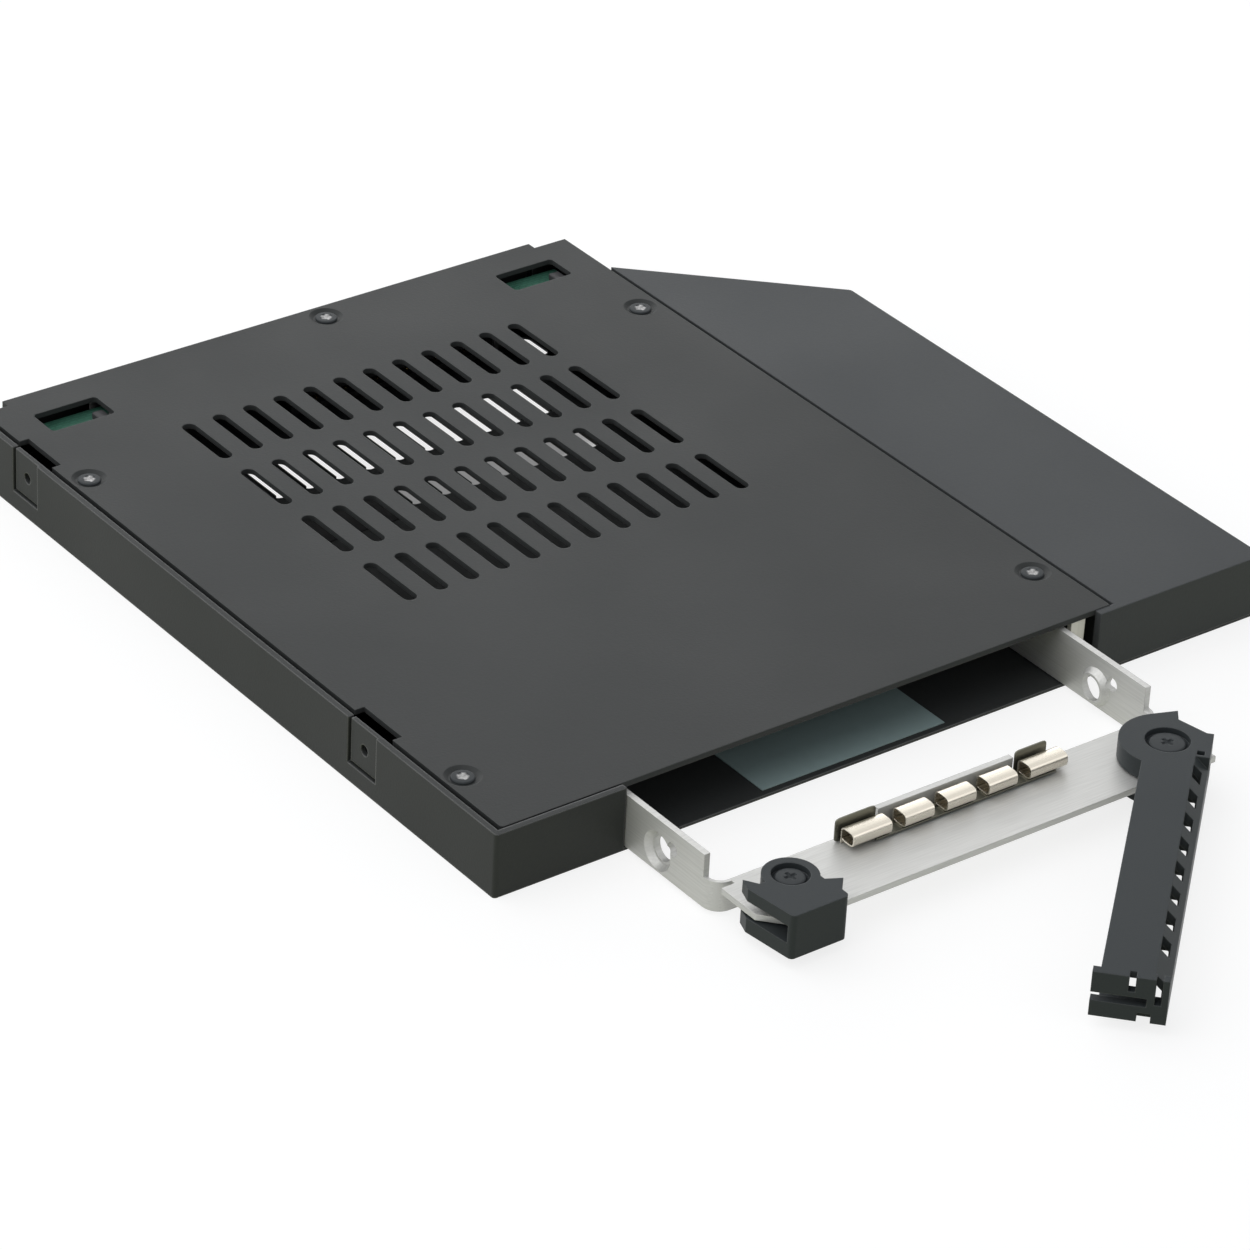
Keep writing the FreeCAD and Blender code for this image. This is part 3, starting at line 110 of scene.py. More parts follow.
# Edge radius of a moulded part and of the tape, as a share of the lesser size
PART_EDGE, TAPE_EDGE = 0.2, 0.4
# Distances under which points merge and slivers go, and the angle over which an edge stays sharp
MERGE, SLIVER, SHARP = 0.002, 0.001, math.radians(35.0)


# Stage

# Name of each lamp, its place, the point that it aims at and its size, in metres
LAMPS = [
    ("key", (-0.62, 0.32, 0.92), (0.0, 0.0, 0.0), (2.2, 1.8)),
    ("fill", (0.35, -1.0, 0.55), (0.0, -0.05, 0.0), (1.0, 0.8)),
    ("back", (0.22, 0.62, 0.30), (0.0, 0.05, 0.0), (0.9, 0.25)),
]
# Middle and reach of the shade that the case throws on the floor under the short row of vents, in millimetres
SHADE = [(-18.0, 25.6), (44.0, 7.6)]
# Distance of the floor below the case, in millimetres
FLOOR_DROP = 0.05
SENSOR, CLIP = 36.0, (0.01, 10.0)
WHITE = (1.0, 1.0, 1.0, 1.0)


# Shared looks

# Factors for the darker and lighter tones of a finish
DARKER, LIGHTER = 0.86, 1.12
# Grey that edges are made lighter towards: partly wear, partly a painted highlight
WEAR_AND_HIGHLIGHT_TONE = (0.5, 0.5, 0.5, 1.0)
# Specular level of paint and plastic, and the heights in metres that a bump stands for
DULL, GRAIN_HEIGHT, COPPER_HEIGHT = 0.1, 0.00005, 0.00004
# What a pattern's node group gives
PATTERN = [("Colour", "Color", None), ("Roughness", "Float", None), ("Height", "Float", None)]
# Numbers of a Mix node's factor, two inputs and output for each kind of data
MIX_SOCKETS = {"RGBA": (0, 6, 7, 2), "VECTOR": (0, 4, 5, 1)}
GROUPS = {}
FINISHES = {}


# Sizes and colours that a user would change

def colour(name, description, default):
    return bpy.props.FloatVectorProperty(
        name=name, description=description, subtype="COLOR", size=3, min=0.0, max=1.0, default=default
    )


def length(name, description, default):
    return bpy.props.FloatProperty(
        name=name, description=description, subtype="DISTANCE", unit="LENGTH", min=0.0, default=default
    )


def share(name, description, default):
    return bpy.props.FloatProperty(
        name=name, description=description, subtype="FACTOR", min=0.0, max=1.0, default=default
    )


def lamp_power(name, description, default):
    return bpy.props.FloatProperty(
        name=name, description=description, subtype="POWER", unit="POWER", default=default
    )


def point(name, description, default):
    return bpy.props.FloatVectorProperty(
        name=name, description=description, subtype="TRANSLATION", unit="LENGTH", default=default
    )


class CaddyColours(bpy.types.PropertyGroup):
    """Base colours of the finishes"""

    paint: colour("Case paint", "Matte black paint on the case and cover", (0.043, 0.0455, 0.0455))
    wing: colour("Wing", "Moulded wing beside the bay", (0.063, 0.067, 0.070))
    lever: colour("Lever", "Lever and latch plastic", (0.041, 0.047, 0.050))
    aluminium: colour("Tray", "Satin aluminium of the tray", (0.60, 0.60, 0.585))
    nickel: colour("Fingers", "Nickel of the contact strip", (0.735, 0.69, 0.60))
    # Nickel of the strip's base and tabs, darkened as painted shade, for they stand in the shade of the
    # fingers and lip
    strip_base: colour("Strip base", "Dulled nickel of the strip's base and tabs", (0.17, 0.17, 0.14))
    steel: colour("Steel", "Plain steel of rails, posts and spring", (0.48, 0.48, 0.47))
    strike: colour("Strike", "Bright plated strike at the mouth", (0.74, 0.72, 0.65))
    brass: colour("Brass", "Pivot bushes", (0.62, 0.50, 0.28))
    gold: colour("Gold", "Plated contacts", (0.80, 0.58, 0.22))
    board: colour("Board", "Green solder mask", (0.045, 0.135, 0.095))
    chip: colour("Chips", "Moulded parts on the board", (0.055, 0.055, 0.057))
    connector: colour("Connector", "Black moulded connectors", (0.022, 0.022, 0.023))
    pad: colour("Floor sheet", "Thin sheet on the case floor", (0.32, 0.42, 0.42))
    screw: colour("Screws", "Blackened screws", (0.043, 0.048, 0.051))
    # Colour of the bright disc on the cover screws' heads: partly driver wear, partly a painted glint
    rubbed: colour("Rubbed steel", "Steel that shows where a driver has rubbed", (0.30, 0.30, 0.30))


class CaddySizes(bpy.types.PropertyGroup):
    """Sizes of the pieces made here"""

    edge: length("Edge softness", "Radius that painted and moulded edges are softened by", 0.00018)
    thread_pitch: length("Thread pitch", "Pitch of the small screws' threads", 0.0004)
    thread_depth: length("Thread depth", "Depth of the small screws' threads", 0.00012)
    cross_reach: length("Cross reach", "Half the length of a screw's cross recess", 0.0009)
    cross_width: length("Cross width", "Width of a screw's cross recess", 0.0005)
    cross_depth: length("Cross depth", "Depth of a screw's cross recess", 0.0005)
    finger_sheet: length("Finger sheet", "Thickness of the contact strip's sheet", 0.00022)
    end_finger: length("End finger", "Length of the strip's two end fingers", 0.0062)
    inner_finger: length("Inner finger", "Length of the strip's inner fingers", 0.0047)
    finger_hang: length("Finger hang", "Height that a finger's curl hangs above the plate", 0.00056)
    base_gap: length("Base gap", "Height that the strip's base is joggled above the plate", 0.0003)
    lip_thick: length("Vent lip", "Thickness of the lips along the floor vents", 0.00025)
    lip_rise: length("Lip rise", "Height of those lips above the floor", 0.0004)
    tape_thick: length("Tape", "Thickness of the tape on the floor", 0.0001)
    spring_wire: length("Spring wire", "Radius of the latch spring's wire", 0.00017)
    contact_bow: length("Contact bow", "Height that a contact bows up by", 0.0003)


class CaddyStage(bpy.types.PropertyGroup):
    """Floor, lamps and camera"""

    floor_size: length("Floor", "Half the width of the floor", 1.5)
    floor_tone: colour("Floor tone", "Part of the floor's white that shadows take away", (0.26, 0.26, 0.26))
    floor_bounce: colour("Floor bounce", "Colour that the floor throws on the object", (0.54, 0.575, 0.32))
    floor_glow: share("Floor glow", "Part of the floor's white that shadows leave", 0.80)
    floor_shade: share("Floor shade", "Part of that glow left where the case shades the floor", 0.25)
    sky: colour("Sky", "Even light from all sides", (0.26, 0.272, 0.285))
    key_power: lamp_power("Key lamp", "Power of the large lamp above", 14.0)
    fill_power: lamp_power("Fill lamp", "Power of the weak lamp in front", 1.4)
    back_power: lamp_power("Back lamp", "Power of the low lamp behind", 1.3)
    camera_place: point("Camera", "Where the camera stands", (-0.41085, -0.52722, 0.39303))
    camera_aim: point("Aim", "The point that the camera looks at", (-0.01599, -0.02568, 0.005))
    camera_lens: bpy.props.FloatProperty(
        name="Lens", description="Focal length on the camera's sensor",
        subtype="DISTANCE_CAMERA", unit="CAMERA", default=161.49,
    )
    camera_roll: bpy.props.FloatProperty(
        name="Roll", description="Turn of the camera about its own line of sight",
        subtype="ANGLE", unit="ROTATION", default=math.radians(3.087),
    )


# Shader nodes

def put(tree, target, value):
    """Link a socket to an input, or set the input to a plain value."""
    if isinstance(value, bpy.types.NodeSocket):
        tree.links.new(value, target)
    else:
        target.default_value = value


def feed(tree, node, **values):
    """Put values into a node's inputs by their names, with a low line for each space."""
    for name, value in values.items():
        put(tree, node.inputs[name.replace("_", " ")], value)


def add(tree, kind, **values):
    """A new node with some of its inputs fed."""
    node = tree.nodes.new(kind)
    feed(tree, node, **values)
    return node


def combine(tree, operation, one, two, kind="ShaderNodeMath"):
    """A math node that works on two values."""
    node = tree.nodes.new(kind)
    node.operation = operation
    for target, value in zip(node.inputs, (one, two)):
        put(tree, target, value)
    return node


def mix(tree, factor, one, two, blend="MIX", kind="RGBA"):
    """Blend of two colours or vectors."""
    node = tree.nodes.new("ShaderNodeMix")
    node.data_type = kind
    node.blend_type = blend
    *inputs, output = MIX_SOCKETS[kind]
    for number, value in zip(inputs, (factor, one, two)):
        put(tree, node.inputs[number], value)
    return node.outputs[output]


def scaled(tree, tint, factor):
    """A colour made darker or lighter."""
    return mix(tree, 1.0, tint, (factor, factor, factor, 1.0), "MULTIPLY")


def spread(tree, value, low, high, start=0.0, end=1.0):
    """Map a value from one range to another, kept within the new one."""
    node = add(tree, "ShaderNodeMapRange", Value=value, From_Min=start, From_Max=end, To_Min=low, To_Max=high)
    return node.outputs[0]


def noise(tree, place, scale, detail=2.0):
    node = add(tree, "ShaderNodeTexNoise", Vector=place, Scale=scale, Detail=detail)
    return node.outputs["Fac"]


def object_place(tree):
    return tree.nodes.new("ShaderNodeTexCoord").outputs["Object"]


def opaque(rgb, factor=1.0):
    return (*(value * factor for value in rgb), 1.0)


def new_group(name, inputs, outputs):
    tree = bpy.data.node_groups.new(name, "ShaderNodeTree")
    for kind, sockets in (("INPUT", inputs), ("OUTPUT", outputs)):
        for label, socket, default in sockets:
            item = tree.interface.new_socket(label, in_out=kind, socket_type=f"NodeSocket{socket}")
            if default is not None:
                item.default_value = default
    return tree, tree.nodes.new("NodeGroupInput"), tree.nodes.new("NodeGroupOutput")


def powder_group():
    """Fine orange-peel of a sprayed or spark-eroded surface: close grain and a slow cloud of tone."""
    tree, given, result = new_group(
        "powder_grain",
        [
            ("Colour", "Color", None), ("Grain", "Float", 3200.0),
            ("Roughness", "Float", 0.5), ("Cloud", "Float", 0.3),
        ],
        PATTERN,
    )
    place, tint = object_place(tree), given.outputs["Colour"]
    grain = noise(tree, place, given.outputs["Grain"], detail=3.0)
    cloud = noise(tree, place, scale=38.0, detail=4.0)
    darker, lighter = scaled(tree, tint, DARKER), scaled(tree, tint, LIGHTER)
    clouded = mix(tree, spread(tree, cloud, low=0.3, high=0.7, start=0.3, end=0.7), darker, lighter)
    tone = mix(tree, given.outputs["Cloud"], tint, clouded)
    grained = mix(tree, spread(tree, grain, low=0.0, high=0.35, start=0.35, end=0.75), tone, lighter)
    change = spread(tree, cloud, low=-0.05, high=0.05, start=0.3, end=0.7)
    rough = combine(tree, "ADD", given.outputs["Roughness"], change)
    feed(tree, result, Colour=grained, Roughness=rough.outputs[0], Height=grain)
    return tree


def brushed_group():
    """Fine lines with a slow cloud; on faces that look sideways the lines run another way, as on a fold."""
    tree, given, result = new_group(
        "brushed_lines",
        [
            ("Colour", "Color", None), ("Stretch", "Vector", (120.0, 4200.0, 4200.0)),
            ("Side stretch", "Vector", (4200.0, 120.0, 4200.0)), ("Roughness", "Float", 0.3),
        ],
        PATTERN,
    )
    where = tree.nodes.new("ShaderNodeTexCoord")
    place, tint = where.outputs["Object"], given.outputs["Colour"]
    facing = add(tree, "ShaderNodeSeparateXYZ", Vector=where.outputs["Normal"]).outputs["X"]
    sideways = add(tree, "ShaderNodeMath", Value=facing)
    sideways.operation = "ABSOLUTE"
    turned = spread(tree, sideways.outputs[0], low=0.0, high=1.0, start=0.6, end=0.8)
    stretch = mix(tree, turned, given.outputs["Stretch"], given.outputs["Side stretch"], kind="VECTOR")
    stretched = combine(tree, "MULTIPLY", place, stretch, "ShaderNodeVectorMath")
    lines = noise(tree, stretched.outputs[0], scale=1.0)
    cloud = noise(tree, place, scale=60.0, detail=3.0)
    darker = scaled(tree, tint, DARKER)
    tone = mix(tree, spread(tree, lines, low=0.0, high=0.6, start=0.35, end=0.7), tint, darker)
    tone = mix(tree, spread(tree, cloud, low=0.0, high=0.5, start=0.4, end=0.8), tone, darker)
    change = spread(tree, lines, low=-0.05, high=0.1, start=0.3, end=0.7)
    rough = combine(tree, "ADD", given.outputs["Roughness"], change)
    feed(tree, result, Colour=tone, Roughness=rough.outputs[0], Height=lines)
    return tree


def edge_group():
    """Normals rounded over near edges, and a mask of where those edges are."""
    tree, given, result = new_group(
        "soft_edge",
        [("Radius", "Float", 0.0002)],
        [("Normal", "Vector", None), ("Edge", "Float", None)],
    )
    bevel = add(tree, "ShaderNodeBevel", Radius=given.outputs["Radius"])
    bevel.samples = 6
    flat = tree.nodes.new("ShaderNodeNewGeometry").outputs["Normal"]
    turn = combine(tree, "DOT_PRODUCT", bevel.outputs[0], flat, "ShaderNodeVectorMath")
    mask = spread(tree, turn.outputs["Value"], low=1.0, high=0.0, start=0.8, end=0.99)
    feed(tree, result, Normal=bevel.outputs[0], Edge=mask)
    return tree


def place_group(tree, name, **values):
    """A node for the shared group of that name, which is made at its first use."""
    makers = {"powder_grain": powder_group, "brushed_lines": brushed_group, "soft_edge": edge_group}
    if name not in GROUPS:
        GROUPS[name] = makers[name]()
    node = tree.nodes.new("ShaderNodeGroup")
    node.node_tree = GROUPS[name]
    feed(tree, node, **values)
    return node


# Finishes

def new_material(name):
    material = bpy.data.materials.new(name)
    material.use_nodes = True
    tree = material.node_tree
    return material, tree, tree.nodes["Principled BSDF"]


def finish_surface(tree, shader, pattern, edge, bump, wear_and_highlight):
    """Join a pattern group to the shader, with softened edges made a little lighter along them: partly wear,
    partly a painted highlight.
    """
    soft = place_group(tree, "soft_edge", Radius=edge)
    # Edges made lighter: partly wear, partly a painted highlight
    worn_and_lit = spread(tree, soft.outputs["Edge"], low=0.0, high=wear_and_highlight)
    tone = mix(tree, worn_and_lit, pattern.outputs["Colour"], WEAR_AND_HIGHLIGHT_TONE)
    relief = add(
        tree, "ShaderNodeBump", Strength=bump, Distance=GRAIN_HEIGHT,
        Height=pattern.outputs["Height"], Normal=soft.outputs["Normal"],
    )
    feed(tree, shader, Base_Color=tone, Roughness=pattern.outputs["Roughness"], Normal=relief.outputs[0])


def sprayed(name, rgb, roughness, grain, bump, edge, wear_and_highlight=0.12):
    """Paint or moulded plastic with a fine grain."""
    material, tree, shader = new_material(name)
    feed(tree, shader, Specular_IOR_Level=DULL)
    pattern = place_group(tree, "powder_grain", Colour=opaque(rgb), Grain=grain, Roughness=roughness)
    finish_surface(tree, shader, pattern, edge, bump, wear_and_highlight)
    return material


def drawn(name, rgb, roughness, stretch, bump, edge, metallic=1.0):
    """Metal with fine lines along one direction, or along the fold on faces that look sideways."""
    material, tree, shader = new_material(name)
    feed(tree, shader, Metallic=metallic)
    pattern = place_group(tree, "brushed_lines", Colour=opaque(rgb), Stretch=stretch, Roughness=roughness)
    finish_surface(tree, shader, pattern, edge, bump, wear_and_highlight=0.0)
    return material


def blackened(name, rgb, rubbed, roughness, grain, edge):
    """Blackened steel turned bright metal where the piece's own mask attribute says so: partly driver wear,
    partly a painted glint.
    """
    material = sprayed(name, rgb, roughness, grain, bump=0.1, edge=edge, wear_and_highlight=0.1)
    tree = material.node_tree
    shader = tree.nodes["Principled BSDF"]
    mask = tree.nodes.new("ShaderNodeAttribute")
    mask.attribute_name = "rubbed"
    black = shader.inputs["Base Color"].links[0].from_socket
    # Bright metal where the mask is set: partly driver wear, partly a painted glint
    tone = mix(tree, mask.outputs["Fac"], black, opaque(rubbed))
    feed(tree, shader, Base_Color=tone, Metallic=mask.outputs["Fac"])
    return material


def solder_mask(name, rgb):
    """Green board whose copper runs show through the mask, lighter and a little raised."""
    material, tree, shader = new_material(name)
    place = object_place(tree)
    runs = add(
        tree, "ShaderNodeTexBrick", Vector=place, Scale=420.0, Mortar_Size=0.06,
        Color1=opaque(rgb), Color2=opaque(rgb, 1.35), Mortar=opaque(rgb, 0.75),
    )
    cloud = noise(tree, place, scale=300.0)
    clouded = spread(tree, cloud, low=0.0, high=0.5)
    tone = mix(tree, clouded, runs.outputs["Color"], opaque(rgb, 1.6))
    relief = add(tree, "ShaderNodeBump", Strength=0.2, Distance=COPPER_HEIGHT, Height=runs.outputs["Fac"])
    rough = spread(tree, cloud, low=0.22, high=0.38)
    feed(tree, shader, Base_Color=tone, Roughness=rough, Normal=relief.outputs[0])
    return material


def make_finishes(scene):
    """All finishes by the record's slot names, or by the piece where one differs from its slot.

    After the colour, sprayed takes roughness, grain, bump, edge and how much lighter the edges are made,
    partly wear and partly a painted highlight. Blackened takes the colour of its bright disc, partly driver
    wear and partly a painted glint, then roughness, grain and edge.
    """
    tones, edge = scene.caddy_colours, scene.caddy_sizes.edge
    along_x, along_y, upright = (150.0, 5200.0, 5200.0), (5200.0, 150.0, 5200.0), (5200.0, 5200.0, 150.0)
    return {
        "case_paint": sprayed("case_paint", tones.paint, 0.46, 3000.0, 0.35, edge),
        # The case's rounded fold is made lighter along its edges than the cover: a painted highlight as well
        # as wear
        "bottom_case": sprayed("case_fold", tones.paint, 0.46, 3000.0, 0.35, edge * 2.2, 0.3),
        "wing_plastic": sprayed("wing_plastic", tones.wing, 0.48, 2600.0, 0.40, edge * 1.5),
        "lever_plastic": sprayed("lever_plastic", tones.lever, 0.40, 4200.0, 0.25, edge * 1.2),
        "connector_black": sprayed("connector_black", tones.connector, 0.42, 4200.0, 0.2, edge * 0.6),
        "pad_sheet": sprayed("pad_sheet", tones.pad, 0.35, 900.0, 0.3, edge * 0.3),
        "screw_black": blackened("screw_black", tones.screw, tones.rubbed, 0.44, 5200.0, edge * 0.4),
        "tray_aluminium": drawn("tray_aluminium", tones.aluminium, 0.50, along_x, 0.10, edge * 0.7, 0.55),
        "finger_nickel": drawn("finger_nickel", tones.nickel, 0.28, along_x, 0.08, edge * 0.4),
        # Darker nickel for the strip's base and tabs: painted shade
        "strip_base": drawn("strip_base", tones.strip_base, 0.42, along_x, 0.08, edge * 0.4),
        "rail_steel": drawn("rail_steel", tones.steel, 0.34, along_y, 0.12, edge * 0.6),
        "strike_steel": drawn("strike_steel", tones.strike, 0.45, upright, 0.10, edge * 0.6, 0.3),
        "post_steel": drawn("post_steel", tones.steel, 0.30, upright, 0.08, edge * 0.6),
        "spring_steel": drawn("spring_steel", tones.steel, 0.25, upright, 0.05, edge * 0.2),
        "bush_brass": drawn("bush_brass", tones.brass, 0.28, upright, 0.06, edge * 0.5),
        "contact_gold": drawn("contact_gold", tones.gold, 0.22, along_y, 0.05, edge * 0.2),
        "board_green": solder_mask("board_green", tones.board),
        "board_chip": sprayed("board_chip", tones.chip, 0.42, 5200.0, 0.15, edge * 0.4),
    }


# Surfaces, in millimetres; every one is a grid of points whose columns go round and whose end rows close

def grid_quads(rows, columns):
    """Corner numbers of every cell of such a grid, the last column joined to the first."""
    row, column = np.meshgrid(np.arange(rows - 1), np.arange(columns), indexing="ij")
    beside = (column + 1) % columns
    corners = (row * columns + column, row * columns + beside)
    corners += (corners[1] + columns, corners[0] + columns)
    return np.stack(corners, axis=-1).reshape(-1, 4)


def round_power(angle, power):
    """Ring of a superellipse: the angle's cosine and sine to two over the power, with their signs kept."""
    ring = np.stack([np.cos(angle), np.sin(angle)], axis=-1)
    return np.sign(ring) * np.abs(ring) ** (2.0 / power)


def full_turn(count):
    return np.linspace(0.0, 2.0 * np.pi, count, endpoint=False)


def quarter_turn(count):
    return np.linspace(0.0, np.pi / 2.0, count)


def unit(vectors):
    return vectors / np.linalg.norm(vectors, axis=1, keepdims=True)


def slab(centre, half, power, edge, order=(0, 1, 2)):
    """Flat block with rounded corners and edges.

    One parameter goes round a superellipse. The other crosses the block from the middle of one face to the
    middle of the other: the ring grows to its full size along a quarter circle of the edge's radius, and
    shrinks again. The order says which axes the two sides and the thickness lie along.
    """
    turn = quarter_turn(5)
    inset = edge * (1.0 - np.sin(turn))
    rise = edge * (1.0 - np.cos(turn)) - half[2]
    ring = round_power(full_turn(48), power)
    inset = np.concatenate([inset, inset[::-1]])
    level = np.concatenate([rise, -rise[::-1]])
    reach = np.stack([half[0] - inset, half[1] - inset], axis=-1)
    reach = np.concatenate([[[0.0, 0.0]], reach, [[0.0, 0.0]]])
    level = np.concatenate([level[:1], level, level[-1:]])
    flat = reach[:, None, :] * ring[None, :, :]
    upright = np.broadcast_to(level[:, None, None], (*flat.shape[:2], 1))
    block = np.concatenate([flat, upright], axis=2)
    return np.asarray(centre) + block[:, :, np.argsort(order)]


def ribbon(path, thick, left, right):
    """Sheet whose edge line, in Y and Z, is carried along X.

    The line is thickened to both sides along its normals, and at either end the two faces close on the line.
    """
    along = unit(np.gradient(path, axis=0))
    normal = np.stack([-along[:, 1], along[:, 0]], axis=1) * thick / 2.0
    loop = np.concatenate([path + normal, (path - normal)[::-1]])
    middle = np.concatenate([path, path[::-1]])
    section = np.stack([middle, loop, loop, middle])
    x = np.broadcast_to(np.array([left, left, right, right])[:, None, None], (*section.shape[:2], 1))
    return np.concatenate([x, section], axis=2)


def rolled_path(centre, half, start, end):
    """Rounded square line in Y and Z: part of a superellipse, from one angle to another."""
    angle = np.linspace(start, end, 72)
    return np.asarray(centre) + round_power(angle, CURL_POWER) * np.asarray(half)


def wire(centres, across, upright, reach):
    """Section carried along a line: each of its points is the line's plus its own shares of two directions.

    The reach is the section's half width, half height and power. The end rows have none, so that they close.
    """
    ring = round_power(full_turn(16), reach[2])
    size = np.ones(len(centres))
    size[[0, -1]] = 0.0
    side = across[:, None, :] * (ring[None, :, :1] * reach[0])
    rise = upright[:, None, :] * (ring[None, :, 1:] * reach[1])
    return centres[:, None, :] + (side + rise) * size[:, None, None]


def bar(start, end, across, upright, reach):
    """Straight bar: one section at either end of a line, and the line's own ends to close it."""
    centres = np.array([start, start, end, end])
    return wire(centres, np.tile(across, (4, 1)), np.tile(upright, (4, 1)), reach)


def coil(x, y, bottom, radius, thick, pitch, turns):
    """Round wire on a helix: the angle grows evenly and the height is the pitch times the share of a turn."""
    steps = 40 * turns + 1
    angle = np.linspace(0.0, 2.0 * np.pi * turns, steps)[np.r_[0, 0:steps, -1]]
    outward = np.stack([np.cos(angle), np.sin(angle), np.zeros_like(angle)], axis=1)
    climb = pitch / (2.0 * np.pi)
    forward = np.stack([-radius * np.sin(angle), radius * np.cos(angle), np.full_like(angle, climb)], axis=1)
    upright = unit(np.cross(outward, forward))
    centres = outward * radius + np.array([x, y, bottom])
    centres[:, 2] += angle * climb
    return wire(centres, outward, upright, (thick, thick, 2.0))


def bowed_contact(x, front, rear, level, width, thick, bow):
    """Flat contact along Y that rises and falls once as a sine squared, with its top nearer the front."""
    lean, steps = 0.7, 17
    run = np.linspace(0.0, 1.0, steps)[np.r_[0, 0:steps, -1]]
    y = front + (rear - front) * run
    z = level + bow * np.sin(np.pi * run ** lean) ** 2
    centres = np.stack([np.full_like(y, x), y, z], axis=1)
    forward = unit(np.gradient(np.stack([y, z], axis=1)[1:-1], axis=0)[np.r_[0, 0:steps, -1]])
    across = np.broadcast_to([1.0, 0.0, 0.0], centres.shape)
    upright = np.stack([np.zeros_like(y), -forward[:, 1], forward[:, 0]], axis=1)
    return wire(centres, across, upright, (width / 2.0, thick / 2.0, CONTACT_POWER))


def cross_mask(x, y, reach, width):
    """One inside either bar of a cross and nought outside, with a short blend between."""
    blend = 0.08
    bars = []
    for along, aside in ((np.abs(x), np.abs(y)), (np.abs(y), np.abs(x))):
        ends = np.clip((reach - along) / blend, 0.0, 1.0)
        sides = np.clip((width / 2.0 - aside) / blend + 0.5, 0.0, 1.0)
        bars.append(ends * sides)
    return np.maximum(*bars)


def screw_surface(place, seat, head, height, shank, shank_length, cross, thread):
    """Cross-recessed screw about a point, its head on the seat's level, and a mask of a bright metal disc on
    the head's middle, partly driver wear and partly a painted glint.

    One parameter runs down the outline, from the middle of the crowned top over a quarter-circle edge, under
    the head, along the shank and to the point; the other goes round. Where a point of the top lies inside the
    cross, it sinks by the cross's depth, less towards the cross's ends. The shank's radius falls and rises
    once for each pitch, and a pitch is one turn.
    """
    reach, width, depth = cross
    pitch, groove = thread
    edge, crown = height * 0.6, height * 0.12
    shallower, glint_blend = 0.45, 0.3
    tip_radii, tip_drops = [shank * 0.5, 0.0], [0.2, 0.25]
    turn = quarter_turn(6)[1:]
    down = np.linspace(0.0, shank_length, int(shank_length / pitch * 6) + 1)
    top = np.linspace(0.0, head - edge, 30)
    radius = np.concatenate([
        top, head - edge + edge * np.sin(turn), [head, shank], np.full_like(down, shank), tip_radii,
    ])
    level = np.concatenate([
        height - crown * (top / head) ** 2, height - crown - edge * (1.0 - np.cos(turn)),
        [0.0, 0.0], -down, [-shank_length - drop for drop in tip_drops],
    ])
    angle = full_turn(72)
    threaded = np.zeros(len(radius))
    threaded[len(top) + len(turn) + 2 : -2] = 1.0
    wave = 0.5 + 0.5 * np.cos(2.0 * np.pi * level[:, None] / pitch - angle[None, :])
    r = radius[:, None] - threaded[:, None] * groove * wave
    x, y = r * np.cos(angle), r * np.sin(angle)
    on_top = (np.arange(len(radius)) < len(top))[:, None]
    in_cross = cross_mask(x, y, reach, width) * on_top
    z = seat + level[:, None] - depth * in_cross * (1.0 - shallower * r / reach)
    # Disc over the middle of the head: partly driver wear, partly a painted glint
    rubbed = np.clip((reach - r) / glint_blend, 0.0, 1.0) * on_top
    return np.stack([x + place[0], y + place[1], z], axis=2), rubbed


def new_piece(name, grids, finish, body, node=None, rubbed=None):
    """One mesh from grids of points, with poles and seams merged, faces outwards, riding on a body."""
    sizes = [grid.shape[0] * grid.shape[1] for grid in grids]
    firsts = np.concatenate([[0], np.cumsum(sizes)[:-1]])
    points = np.concatenate([grid.reshape(-1, 3) for grid in grids]) * MM
    quads = np.concatenate([grid_quads(*grid.shape[:2]) + first for grid, first in zip(grids, firsts)])
    mesh = bpy.data.meshes.new(name)
    mesh.from_pydata(points.tolist(), [], quads.tolist())
    if rubbed is not None:
        values = np.concatenate([mask.ravel() for mask in rubbed]).astype(np.float32)
        mesh.attributes.new("rubbed", "FLOAT", "POINT").data.foreach_set("value", values)
    shell = bmesh.new()
    shell.from_mesh(mesh)
    bmesh.ops.remove_doubles(shell, verts=shell.verts, dist=MERGE * MM)
    bmesh.ops.dissolve_degenerate(shell, edges=shell.edges, dist=SLIVER * MM)
    bmesh.ops.recalc_face_normals(shell, faces=shell.faces)
    open_edges = sum(not edge.is_manifold for edge in shell.edges)
    shell.to_mesh(mesh)
    shell.free()
    if open_edges:
        raise RuntimeError(f"{name} has {open_edges} edges that do not close")
    mesh.shade_smooth()
    mesh.set_sharp_from_angle(angle=SHARP)
    mesh.materials.append(finish)
    piece = bpy.data.objects.new(name, mesh)
    bpy.context.scene.collection.objects.link(piece)
    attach(piece, body)
    if node is not None:
        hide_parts(node)
    return piece


def in_mm(box):
    """A box's lowest and highest corner, in millimetres."""
    return [np.array(corner) / MM for corner in box]


# Floor, sky, lamps and camera

def seen_directly(tree):
    """One for rays from the camera, a mirror or clear plastic, nought for light that falls on the object."""
    path = tree.nodes.new("ShaderNodeLightPath")
    total = path.outputs["Is Camera Ray"]
    for name in ("Is Glossy Ray", "Is Transmission Ray"):
        total = combine(tree, "MAXIMUM", total, path.outputs[name]).outputs[0]
    return total


def shaded_spot(tree, centre, reach):
    """One at a point of the floor, given in millimetres, falling evenly to nought at an ellipse round it."""
    scale = 1.0 / (np.array(reach) * MM)
    shift = -np.array(centre) * MM * scale
    fitted = add(
        tree, "ShaderNodeMapping", Vector=object_place(tree), Scale=(*scale, 0.0), Location=(*shift, 0.0)
    )
    ball = add(tree, "ShaderNodeTexGradient", Vector=fitted.outputs[0])
    ball.gradient_type = "SPHERICAL"
    return ball.outputs["Fac"]


